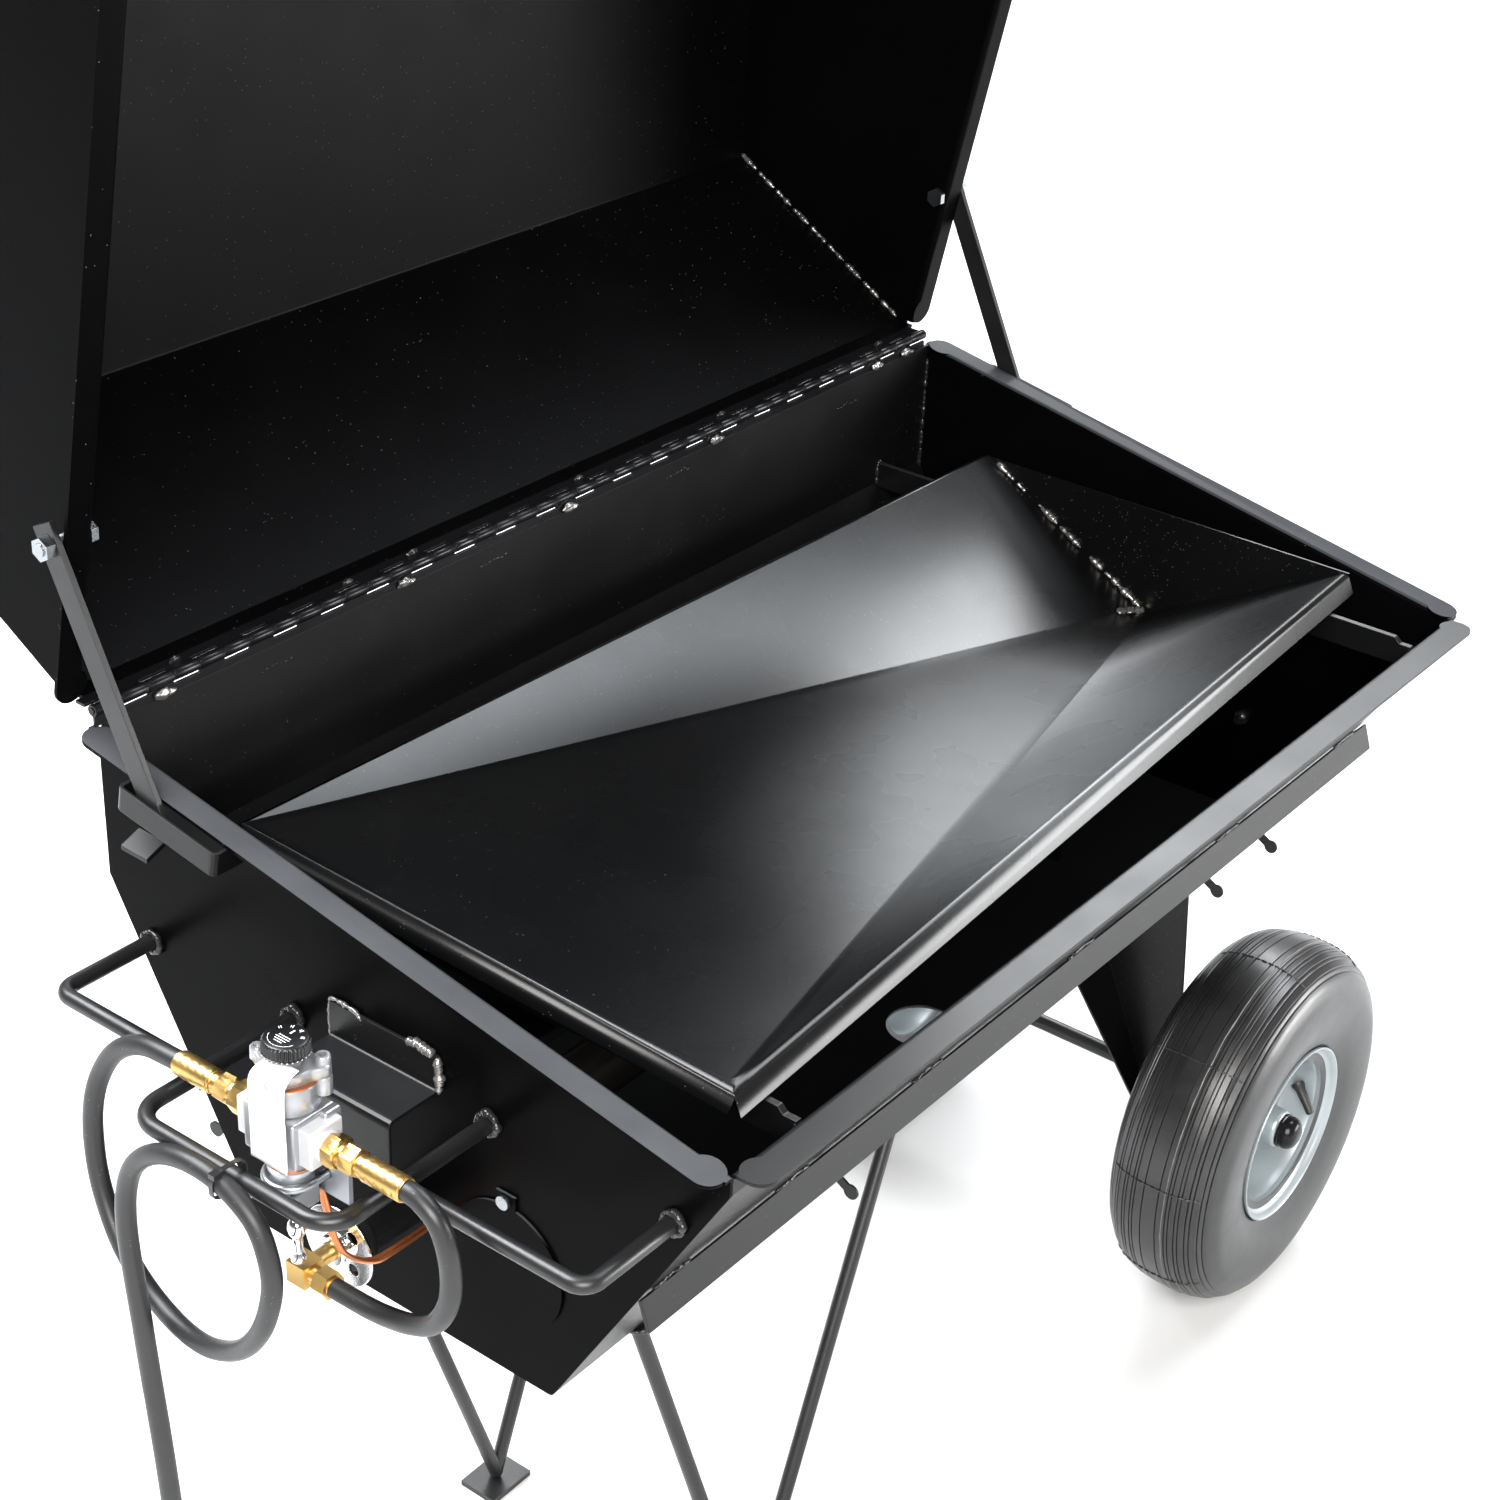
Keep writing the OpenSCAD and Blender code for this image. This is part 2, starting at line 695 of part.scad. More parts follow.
// dished disc that turns on the mixer to set the air
module air_shutter() {
    color("#d5d8da") at_burner() difference() {
        union() {
            cyl_x(shutter_x + 3, shutter_x + 6, 33);
            cyl_x(shutter_x - 5, shutter_x + 6, 12);
        }
        cyl_x(shutter_x - 6, shutter_x + 7, 7.06);
        for (a = [45 : 90 : 315]) rotate([a, 0, 0])
            translate([0, 0, 20]) cyl_x(shutter_x, shutter_x + 7, 5);
    }
}

elbow_x = valve_x + 18;

module orifice_elbow() {
    color(brass) at_burner() {
        cyl_x(elbow_x, shutter_x + 14, 7);
        translate([elbow_x - 9, -9, -9]) cube(18);
        translate([elbow_x, 0, 0]) cyl_y(-29.6, 0, 7);
        translate([elbow_x, -16, 0]) rotate([90, 0, 0]) cylinder(h = 12, r = 11, $fn = 6);
    }
}

outlet_route = [[-115.4, 172.2, -32], [-115.4, 165, -32.2], [-115, 150, -41], [-114, 143, -53],
    [-113, 139, -69], [-111, 139, -88], [-109, 142, -108], [-107, 150, -128],
    [-104, 163, -146], [-101, 181, -159], [-99, 203, -168], [-98, 228, -173],
    [-98, 262, -174]];

module outlet_hose() { color(rubber) at_body() swept(outlet_route, hose_d / 2, 12); }

// two thin copper lines from the valve down to the pilot
module capillary_tubes() {
    color("#b06a3c") at_body() for (k = [0, 1])
        swept([[-102, 276 + 4 * k, -93.5], [-98, 276 + 4 * k, -93.8], [-94, 275 + 4 * k, -97],
            [-92, 274 + 4 * k, -104], [-90, 272 + 4 * k, -120], [-89, 268 + 4 * k, -139],
            [-84, 261 + 4 * k, -154], [-70, 252 + 4 * k, -163], [-50, 250 + 4 * k, -165],
            [0, 250 + 4 * k, -165]], 1.7, 8);
}

// --- gas valve ---------------------------------------------------------------

module at_valve() { at_body() translate([valve_x, valve_y, 0]) children(); }

module valve_body() {
    color("#c8cacc") at_valve() {
        translate([-20, -25, -50]) cube([40, 50, 38]);
        translate([0, 0, -12]) cylinder(h = 22, r = 22);
        translate([4, -30, -12]) cube([18, 12, 22]);
        intersection() {
            translate([0, 0, -62]) cylinder(h = 12, r1 = neck_r, r2 = 19);
            translate([-20, -20, -63]) cube([20 + neck_r, 40, 14]);
        }
        translate([0, 0, -80]) cylinder(h = 18, r = neck_r);
        translate([-13, -13, -98]) cube([26, 26, 18]);
        translate([0, 0, flow_z]) cyl_y(-38, 38, 12);
    }
}

// cast cover with two screw posts and the dial spindle
module valve_cover() {
    color("#dcdee0") at_valve() {
        translate([0, 0, 11]) linear_extrude(9) union() {
            circle(23);
            translate([4, -32]) square([20, 18]);
        }
        translate([18, -27, 20]) cylinder(h = 8, r = 6);
        translate([-4, 24, 11]) cylinder(h = 14, r = 6);
        translate([0, 0, 20]) cylinder(h = 8, r = 9);
        translate([0, 0, 28]) cylinder(h = 7, r = 3);
    }
}

module valve_dial() {
    color("#202022") at_valve() difference() {
        translate([0, 0, 28.4]) cylinder(h = 11.4, r = dial_d / 2);
        translate([0, 0, 27]) cylinder(h = 8.5, r = 3.06);
    }
}

module valve_tag() {
    color("white") at_body() translate([valve_x - 27, valve_y - 25, -46]) cube([0.6, 34, 64]);
}

// plate that the U-bolt clamps the valve to
plate_x = valve_x + neck_r;

module valve_plate() {
    color("#8d9195") at_body() difference() {
        translate([plate_x, valve_y - 38, -90]) cube([4, 76, 39.5]);
        for (k = [-1, 1]) translate([plate_x, valve_y + k * 18.1, u_bolt_z])
            cyl_x(-1, 5, u_bolt_d / 2 + 0.3);
    }
}

// flat bar across the valve holder, behind the plate
module valve_strap() {
    color(steel) at_body() translate([plate_x + 4, holder_y[0] + rod_d / 2, holder_z - 6])
        cube([4, holder_y[1] - holder_y[0] - rod_d, 12]);
}

module u_bolt() {
    back = neck_r + 4;
    color(zinc) at_valve() translate([0, 0, u_bolt_z]) {
        rotate([0, 0, 90]) rotate_extrude(angle = 180) translate([18.1, 0]) circle(d = u_bolt_d);
        for (k = [-1, 1]) translate([0, 18.1 * k, 0]) {
            cyl_x(0, back + 9, u_bolt_d / 2);
            translate([back, 0, 0]) rotate([0, 90, 0]) cylinder(h = 5, r = 5.7, $fn = 6);
        }
    }
}

// two hexagons of one hose fitting, pointing to +Y
module hose_fitting() {
    translate([0, 38, 0]) rotate([-90, 0, 0]) {
        cylinder(h = 12, r = 12.2, $fn = 6);
        translate([0, 0, 12]) cylinder(h = 3, r = 8);
        translate([0, 0, 15]) cylinder(h = 13, r = 10.8, $fn = 6);
    }
}

module hose_fittings() {
    color(brass) at_valve() translate([0, 0, flow_z]) {
        hose_fitting();
        mirror([0, 1, 0]) hose_fitting();
    }
}

module hose_ferrule() {
    translate([0, 66, 0]) rotate([-90, 0, 0]) {
        cylinder(h = 5, r = 8);
        translate([0, 0, 5]) cylinder(h = flow_half - 71, r = 9.2);
    }
}

module hose_ferrules() {
    color(brass) at_valve() translate([0, 0, flow_z]) {
        hose_ferrule();
        mirror([0, 1, 0]) hose_ferrule();
    }
}

// the supply hose: one loop tied to the valve holder, then down to the ground
ground = -front_rim_h + hose_d / 2;
supply_route = [[-115.4, 387.4, -32], [-115.5, 402, -32], [-116, 420, -34], [-117, 437, -41],
    [-118, 452, -53], [-119, 464, -70], [-121, 473, -92], [-123, 477, -116],
    [-125, 476, -141], [-128, 470, -165], [-131, 459, -188], [-135, 442, -209],
    [-139, 419, -225], [-143, 392, -235], [-148, 363, -237], [-153, 334, -231],
    [-157, 307, -217], [-161, 284, -197], [-164, 266, -172], [-166, 254, -145],
    [-167, 248, -118], [-168, 250, -94], [-168, 259, -74], [-168, 276, -61],
    [-168, 297, -54], [-168, 320, -53], [-168, 343, -58], [-168, 363, -69],
    [-168, 379, -86], [-168, 388, -107], [-168, 392, -131], [-168, 392, -158],
    [-168, 389, -190], [-168, 385, -225], [-168, 381, -265], [-168, 376, -310],
    [-168, 371, -360], [-168, 367, -410], [-168, 363, -460], [-168, 360, -510],
    [-168, 357, -560], [-168, 352, -605], [-168, 343, -645], [-168, 328, -681],
    [-168, 306, -707], [-168, 279, -722], [-168, 250, ground], [-168, 220, ground],
    [-166, 190, ground], [-160, 162, ground]];

module supply_hose() { color(rubber) at_body() swept(supply_route, hose_d / 2, 10); }

// gas regulator that lies on the ground at the end of the hose
module at_hose_end() {
    at_body() translate([-160, 162, ground]) rotate([0, 0, 12]) children();
}

module regulator() {
    color("#8a8d90") at_hose_end() {
        cyl_y(-26, 0, 7.4);
        translate([0, -54, -hose_d / 2]) cylinder(h = 9, r = 30);
        translate([0, -54, -hose_d / 2 + 9]) cylinder(h = 16, r1 = 30, r2 = 22);
        translate([0, -54, -hose_d / 2 + 25]) cylinder(h = 10, r = 9);
    }
}

module bottle_connector() {
    color(brass) at_hose_end() translate([0, -54, 9]) {
        cyl_y(-52, -30, 6);
        translate([0, -66, 0]) cyl_y(0, 16, 15);
        cyl_y(-92, -66, 8);
    }
}

// tie that holds the hose loop to the valve holder
module cable_tie() {
    color("#1a1a1c") at_body() translate([-161, 292, -56.2]) difference() {
        translate([-16.2, -2.2, -11.6]) cube([32.4, 4.4, 23.2]);
        translate([-15, -3, -10.4]) cube([30, 6, 20.8]);
    }
}

// --- wheels and legs ---------------------------------------------------------

module at_axle() { at_body() translate([axle_x, 0, axle_z]) children(); }

// half of the tyre's section, radius then distance from the middle: out over the
// tread and the sidewall to the bead, then back along the inside
tyre_out = [[tyre_d / 2, 0], [tyre_d / 2 - 0.4, 12], [tyre_d / 2 - 2, 24],
    [tyre_d / 2 - 5.5, 36], [tyre_d / 2 - 12, 46], [tyre_d / 2 - 21, 54],
    [tyre_d / 2 - 33, tyre_w / 2 - 1.2], [tyre_d / 2 - 45, tyre_w / 2],
    [tyre_d / 2 - 60, tyre_w / 2 - 0.7], [115, 57.5], [103, 54], [95, 51.5], [93, 50],
    [88, 45], [76, 45]];
tyre_in = [[76, 37], [90, 38], [100, 43], [115, 49.5], [tyre_d / 2 - 60, 52.5],
    [tyre_d / 2 - 45, 53.2], [tyre_d / 2 - 33, 52], [tyre_d / 2 - 22, 47],
    [tyre_d / 2 - 14, 40], [tyre_d / 2 - 9.5, 30], [tyre_d / 2 - 8, 15],
    [tyre_d / 2 - 7.6, 0]];
function flip_w(p) = [for (q = p) [q[0], -q[1]]];
function tail(p) = [for (i = [1 : len(p) - 1]) p[i]];
function head(p) = [for (i = [0 : len(p) - 2]) p[i]];
tyre_section = concat(tyre_out, tyre_in, reversed(flip_w(head(tyre_in))),
    reversed(flip_w(tail(tyre_out))));

module tyre() {
    color(rubber) rotate([90, 0, 0]) rotate_extrude($fn = 64) polygon(tyre_section);
}

// steel rim: the barrel that the tyre sits on, its disc and the hub tube
module rim() {
    color("#9fa6aa") rotate([90, 0, 0]) {
        rotate_extrude($fn = 64) polygon([[76, -45], [88, -45], [93, -50], [93, -54],
            [90, -54], [90, -51.3], [86.7, -48], [73, -48], [73, -2], [60, -5], [18, -5],
            [18, 0], [60, 0], [73, 4], [73, 48], [86.7, 48], [90, 51.3], [90, 54],
            [93, 54], [93, 50], [88, 45], [76, 45]]);
        difference() {
            cylinder(h = 84, r = 20, center = true);
            cylinder(h = 86, r = axle_d / 2 + 0.06, center = true);
        }
    }
}

module front_tyre() { at_axle() translate([0, wheel_y[0], 0]) tyre(); }
module rear_tyre() { at_axle() translate([0, wheel_y[1], 0]) tyre(); }
module front_rim() { at_axle() translate([0, wheel_y[0], 0]) rim(); }
module rear_rim() { at_axle() translate([0, wheel_y[1], 0]) rim(); }

module axle() {
    color(zinc) at_axle() cyl_y(wheel_y[0] - 45, wheel_y[1] + 45, axle_d / 2);
}

// domed caps on the two ends of the axle
module axle_caps() {
    color(steel) at_axle() for (end = [0, 1])
        translate([0, end * body_w, 0]) mirror([0, end, 0])
            translate([0, wheel_y[0] - 42.4, 0]) rotate([90, 0, 0]) difference() {
                rotate_extrude() polygon(concat([[0, 0], [17.5, 0]],
                    [for (a = [0 : 15 : 90]) [17.5 * cos(a), 4 + 10 * sin(a)]]));
                translate([0, 0, -1]) cylinder(h = 3.6, r = axle_d / 2);
            }
}

// front half of the wheel leg's outline, from the body down to the axle
leg_outline = [[174, -trough_depth], [149, axle_z - 28], [186, axle_z - 28],
    [body_w / 2, -325], [body_w / 2, -trough_depth]];

module wheel_leg() {
    color(steel) at_body() for (side = [0, 1])
        translate([0, side * body_w, 0]) mirror([0, side, 0]) {
            along_x(leg_x, leg_x + sheet) polygon(leg_outline);
            // the inner edge is folded over towards the left, tapering down
            slab([[leg_x, 285, -348], [leg_x - 82, 285, -348], [leg_x - 22, 190, -563],
                [leg_x, 190, -563]], [0, -sheet, 0]);
            // lug that holds the axle
            difference() {
                translate([leg_x + sheet, 158, axle_z - 14]) cube([20, 8, 28]);
                translate([axle_x, 150, axle_z]) cyl_y(0, 20, axle_d / 2);
            }
        }
}

// one V-shaped leg of round bar, with a foot plate
module stand_leg(y) {
    foot = [stand_foot_x, y, -front_rim_h + 5 + rod_d / 2];
    for (x = [stand_foot_x - 164, stand_foot_x + 164]) {
        v = [x, y, -trough_depth] - foot;
        translate(foot) rotate([0, acos(v[2] / norm(v)) * sign(v[0]), 0])
            cylinder(h = norm(v) - rod_d / 2 * 0.4, d = rod_d);
    }
    translate(foot) sphere(d = rod_d);
    translate([stand_foot_x - 25, y - 20, -front_rim_h]) cube([50, 40, 5.5]);
}

module stand_legs() {
    color(steel) at_body() {
        stand_leg(stand_y[0]);
        stand_leg(stand_y[1]);
    }
}

// --- drawing -----------------------------------------------------------------

front_panel();
floor_panel();
rear_panel();
end_plate_left();
end_plate_right();
drip_rail();
pan_supports();
strap_guides();
arm_stops();
carry_handle();
valve_holder();
shield_bracket();
vent_guides();
drain_pipe();
burner_tube();
burner_supports();
mixer_tube();
orifice_elbow();
outlet_hose();
capillary_tubes();
valve_body();
valve_cover();
valve_plate();
valve_strap();
u_bolt();
hose_fittings();
hose_ferrules();
valve_tag();
supply_hose();
regulator();
bottle_connector();
cable_tie();
wheel_leg();
axle();
axle_caps();
stand_legs();
hinge_body_leaf();
hinge_pin();
port_screw();
tie_bolt();
port_cover();
drip_pan();
front_tyre();
front_rim();
rear_tyre();
rear_rim();
lid_sheet();
lid_end_left();
lid_end_right();
lid_handle();
hinge_lid_leaf();
arm_bolts();
prop_arm_left();
prop_arm_right();
valve_dial();
air_shutter();
vent_slide_1();
vent_slide_2();
vent_slide_3();
vent_slide_rear();
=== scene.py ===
"""Looks of a wheeled gas barbecue roaster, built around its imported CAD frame."""

import math

import bmesh
import bpy
from mathutils import Matrix, Vector, noise


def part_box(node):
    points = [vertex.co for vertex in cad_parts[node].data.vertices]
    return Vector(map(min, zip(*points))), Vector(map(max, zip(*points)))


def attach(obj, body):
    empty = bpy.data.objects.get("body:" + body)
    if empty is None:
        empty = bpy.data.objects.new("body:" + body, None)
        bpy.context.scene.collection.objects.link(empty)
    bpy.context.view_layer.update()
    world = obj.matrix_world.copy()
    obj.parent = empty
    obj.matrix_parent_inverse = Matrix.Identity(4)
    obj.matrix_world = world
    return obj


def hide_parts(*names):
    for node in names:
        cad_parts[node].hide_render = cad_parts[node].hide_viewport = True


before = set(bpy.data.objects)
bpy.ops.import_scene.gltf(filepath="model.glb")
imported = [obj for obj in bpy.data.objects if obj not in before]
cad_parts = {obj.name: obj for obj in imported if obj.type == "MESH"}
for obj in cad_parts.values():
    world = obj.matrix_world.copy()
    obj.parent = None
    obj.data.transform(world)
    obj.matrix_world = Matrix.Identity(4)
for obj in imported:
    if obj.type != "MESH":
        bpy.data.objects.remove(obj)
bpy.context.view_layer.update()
MM = 0.001

# Sizes of the trough in millimetres. Its own frame starts at the rim's front left corner.
BODY_L, BODY_W, DEPTH, SHEET = 1073, 591, 274, 3
RIM_SLOPE = math.radians(10.43)
SLANT = math.radians(60)
FLOOR_LOW, FLOOR_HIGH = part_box("floor_panel")
ORIGIN = Vector((
    FLOOR_LOW.x - SHEET * MM,
    (FLOOR_LOW.y + FLOOR_HIGH.y) / 2 - BODY_W * MM / 2,
    FLOOR_LOW.z + DEPTH * MM,
))


def at(x, y, z):
    """A point of the trough's frame, given in millimetres, in the scene's metres."""
    return ORIGIN + Vector((x, y, z)) * MM


# --- camera -------------------------------------------------------------------

CAMERA_AT = (-1103.35, -805.57, 1077.77)
CAMERA_LOOKS = Vector((0.70378, 0.51492, -0.48944))
CAMERA_RIGHT = Vector((0.60964, -0.79146, 0.04394))


def make_camera():
    data = bpy.data.cameras.new("camera")
    data.sensor_width = 36
    data.lens = 64.93
    data.clip_end = 50
    camera = bpy.data.objects.new("camera", data)
    bpy.context.scene.collection.objects.link(camera)
    up = CAMERA_RIGHT.cross(CAMERA_LOOKS)
    turn = Matrix((CAMERA_RIGHT, up, -CAMERA_LOOKS)).transposed()
    camera.matrix_world = Matrix.Translation(at(*CAMERA_AT)) @ turn.to_4x4()
    bpy.context.scene.camera = camera


make_camera()

# --- materials ----------------------------------------------------------------


class Nodes:
    """A short way to write a material's nodes."""

    def __init__(self, name):
        self.material = bpy.data.materials.new(name)
        self.material.use_nodes = True
        self.tree = self.material.node_tree
        self.shader = self.tree.nodes["Principled BSDF"]
        self.place = self.add("ShaderNodeTexCoord").outputs["Object"]

    def add(self, kind, **values):
        node = self.tree.nodes.new(kind)
        for key, value in values.items():
            setattr(node, key, value)
        return node

    def link(self, source, target):
        self.tree.links.new(source, target)
        return target

    def noise(self, scale, detail=3.0, rough=0.5, stretch=None):
        node = self.add("ShaderNodeTexNoise")
        node.inputs["Scale"].default_value = scale
        node.inputs["Detail"].default_value = detail
        node.inputs["Roughness"].default_value = rough
        place = self.place
        if stretch:
            mapping = self.add("ShaderNodeMapping")
            mapping.inputs["Scale"].default_value = stretch
            self.link(place, mapping.inputs["Vector"])
            place = mapping.outputs["Vector"]
        self.link(place, node.inputs["Vector"])
        return node.outputs["Fac"]

    def span(self, value, low, high, to_low=0.0, to_high=1.0):
        """The value from low to high, stretched to to_low to to_high and held there."""
        node = self.add("ShaderNodeMapRange")
        node.inputs["From Min"].default_value = low
        node.inputs["From Max"].default_value = high
        node.inputs["To Min"].default_value = to_low
        node.inputs["To Max"].default_value = to_high
        self.link(value, node.inputs["Value"])
        return node.outputs["Result"]

    def math(self, operation, a, b):
        node = self.add("ShaderNodeMath", operation=operation)
        for socket, value in zip(node.inputs, (a, b)):
            if isinstance(value, (int, float)):
                socket.default_value = value
            else:
                self.link(value, socket)
        return node.outputs["Value"]

    def mix(self, share, a, b):
        """Colour a, turning into colour b as share goes to 1."""
        node = self.add("ShaderNodeMix", data_type="RGBA")
        self.link(share, node.inputs["Factor"])
        for socket, value in ((node.inputs[6], a), (node.inputs[7], b)):
            if isinstance(value, tuple):
                socket.default_value = (*value, 1)
            else:
                self.link(value, socket)
        return node.outputs[2]

    def bump(self, height, depth, strength=1.0, under=None):
        node = self.add("ShaderNodeBump")
        node.inputs["Distance"].default_value = depth
        node.inputs["Strength"].default_value = strength
        self.link(height, node.inputs["Height"])
        if under is not None:
            self.link(under, node.inputs["Normal"])
        return node.outputs["Normal"]

    def dots(self, scale, size, share):
        """Sparse round specks: 1 inside a speck, 0 outside."""
        cells = self.add("ShaderNodeTexVoronoi")
        cells.inputs["Scale"].default_value = scale
        self.link(self.place, cells.inputs["Vector"])
        near = self.span(cells.outputs["Distance"], size, size * 0.6)
        split = self.add("ShaderNodeSeparateColor")
        self.link(cells.outputs["Color"], split.inputs["Color"])
        chosen = self.math("LESS_THAN", split.outputs["Red"], share)
        return self.math("MULTIPLY", near, chosen)

    def upward(self):
        """1 on faces that look up, where the film of dust and painted sheen goes, and 0 on the
        others.
        """
        split = self.add("ShaderNodeSeparateXYZ")
        self.link(self.add("ShaderNodeNewGeometry").outputs["Normal"], split.inputs["Vector"])
        return self.span(split.outputs["Z"], 0.7, 0.95)


def shade(color, factor):
    return tuple(min(1.0, c * factor) for c in color)


def coating(name, color, rough, metal=0.0, tone=0.25, rough_spread=0.08, grain=1400,
            grain_depth=0.00003, wave=None, dust=0.0, dust_and_top_sheen=0.0, specular=0.5):
    """Uneven tone and gloss, fine grain, optional dust, and an optional top film of dust and painted
    sheen.
    """
    n = Nodes(name)
    broad = n.noise(5, 4, 0.6)
    fine = n.noise(grain, 2)
    look = n.mix(n.span(broad, 0.3, 0.7), shade(color, 1 - tone), shade(color, 1 + tone))
    if dust:
        specks = n.math("MULTIPLY", n.dots(420, 0.22, dust), 0.35)
        look = n.mix(specks, look, (0.3, 0.3, 0.29))
    # Partly dust, partly painted sheen: a pale bluish film on faces that look up, such as the rim
    # flanges.
    if dust_and_top_sheen:
        dust_and_sheen_film = n.math("MULTIPLY", n.upward(), n.span(n.noise(16, 4), 0.2, 0.8, 0.7, 1))
        look = n.mix(dust_and_sheen_film, look, shade((0.94, 0.97, 1.05), dust_and_top_sheen))
    n.link(look, n.shader.inputs["Base Color"])
    gloss = n.span(n.noise(14, 5, 0.6), 0.3, 0.7, rough - rough_spread, rough + rough_spread)
    n.link(gloss, n.shader.inputs["Roughness"])
    normal = n.bump(fine, grain_depth, 0.6)
    if wave:
        normal = n.bump(n.noise(wave[0], 2), wave[1], 1.0, normal)
    n.link(normal, n.shader.inputs["Normal"])
    n.shader.inputs["Metallic"].default_value = metal
    n.shader.inputs["Specular IOR Level"].default_value = specular
    return n.material


PAINT = coating("painted_steel", (0.003, 0.003, 0.0033), 0.34, tone=0.2, rough_spread=0.03,
                grain=900, grain_depth=0.00001, wave=(9, 0.0002), dust=0.03, dust_and_top_sheen=0.012,
                specular=0.26)
# The end plates get a stronger top film: dust and painted sheen on their rim flanges.
END_PAINT = coating("end_paint", (0.0012, 0.0012, 0.0014), 0.3, tone=0.2, rough_spread=0.03,
                    grain=900, grain_depth=0.00001, wave=(9, 0.0002), dust=0.02, dust_and_top_sheen=0.06,
                    specular=0.02)
LID_PAINT = coating("lid_paint", (0.0012, 0.0012, 0.0014), 0.42, tone=0.3, rough_spread=0.05,
                    grain=900, grain_depth=0.00002, dust=0.04, specular=0.06)
LID_END = coating("lid_end_paint", (0.0012, 0.0012, 0.0014), 0.36, tone=0.2, rough_spread=0.03,
                  grain=900, grain_depth=0.00001, wave=(9, 0.0002), dust=0.02, specular=0.02)
WELD = coating("weld_bead", (0.02, 0.02, 0.021), 0.18, metal=0.35, tone=0.6, grain=400,
               grain_depth=0.0002, wave=(700, 0.0002))
SILVER_WELD = coating("silver_weld", (0.3, 0.29, 0.28), 0.25, metal=0.8, tone=0.6, grain=500,
                      grain_depth=0.0003, wave=(600, 0.0003))
HINGE = coating("hinge_steel", (0.006, 0.006, 0.007), 0.24, metal=0.04, tone=0.3, specular=0.22)
ROD = coating("rod_paint", (0.008, 0.008, 0.0085), 0.38, tone=0.3, wave=(160, 0.0001),
              specular=0.45)
BURNT = coating("burner_steel", (0.05, 0.043, 0.038), 0.5, metal=0.8, tone=0.5)
ZINC = coating("zinc", (0.36, 0.38, 0.4), 0.3, metal=1.0, tone=0.2, wave=(400, 0.00003))
DULL_PLATE = coating("plate_steel", (0.3, 0.31, 0.33), 0.42, metal=0.9, tone=0.35,
                     wave=(200, 0.00004))
RIM_ZINC = coating("rim_steel", (0.33, 0.365, 0.38), 0.36, metal=0.5, tone=0.16,
                   wave=(70, 0.00006))
BRASS = coating("brass", (0.66, 0.43, 0.15), 0.33, metal=1.0, tone=0.12,
                wave=(200, 0.00002))
COPPER = coating("copper", (0.62, 0.22, 0.09), 0.33, metal=0.9, tone=0.3)
CASTING = coating("valve_casting", (0.42, 0.43, 0.45), 0.34, metal=0.75, tone=0.16,
                  wave=(300, 0.00008), grain=1500, grain_depth=0.00003)
PALE_CASTING = coating("pale_casting", (0.6, 0.6, 0.62), 0.4, metal=0.3, tone=0.06,
                       wave=(300, 0.00003))
CHROME = coating("chrome", (0.7, 0.7, 0.71), 0.09, metal=1.0, tone=0.08, rough_spread=0.03)
RUBBER = coating("hose_rubber", (0.011, 0.011, 0.012), 0.44, tone=0.3, wave=(200, 0.00005),
                 dust=0.05, specular=0.5)
DIAL_BLACK = coating("dial_plastic", (0.006, 0.006, 0.007), 0.3, tone=0.2)
FLASH = coating("mould_flash", (0.16, 0.155, 0.15), 0.6, tone=0.5)
NYLON = coating("black_plastic", (0.012, 0.012, 0.014), 0.3, tone=0.2)
WHITE_INK = coating("white_ink", (0.8, 0.8, 0.8), 0.5, tone=0.05)
PAPER = coating("paper", (0.8, 0.8, 0.8), 0.6, tone=0.03, wave=(30, 0.0002))


# The painted reflection on the pan: its middle, its turn about Z, and its half length and half width.
PAINTED_GLOW_AT = (600, 170, -30)
PAINTED_GLOW_TURN = -0.257
PAINTED_GLOW_LONG, PAINTED_GLOW_WIDE = 0.36, 0.2


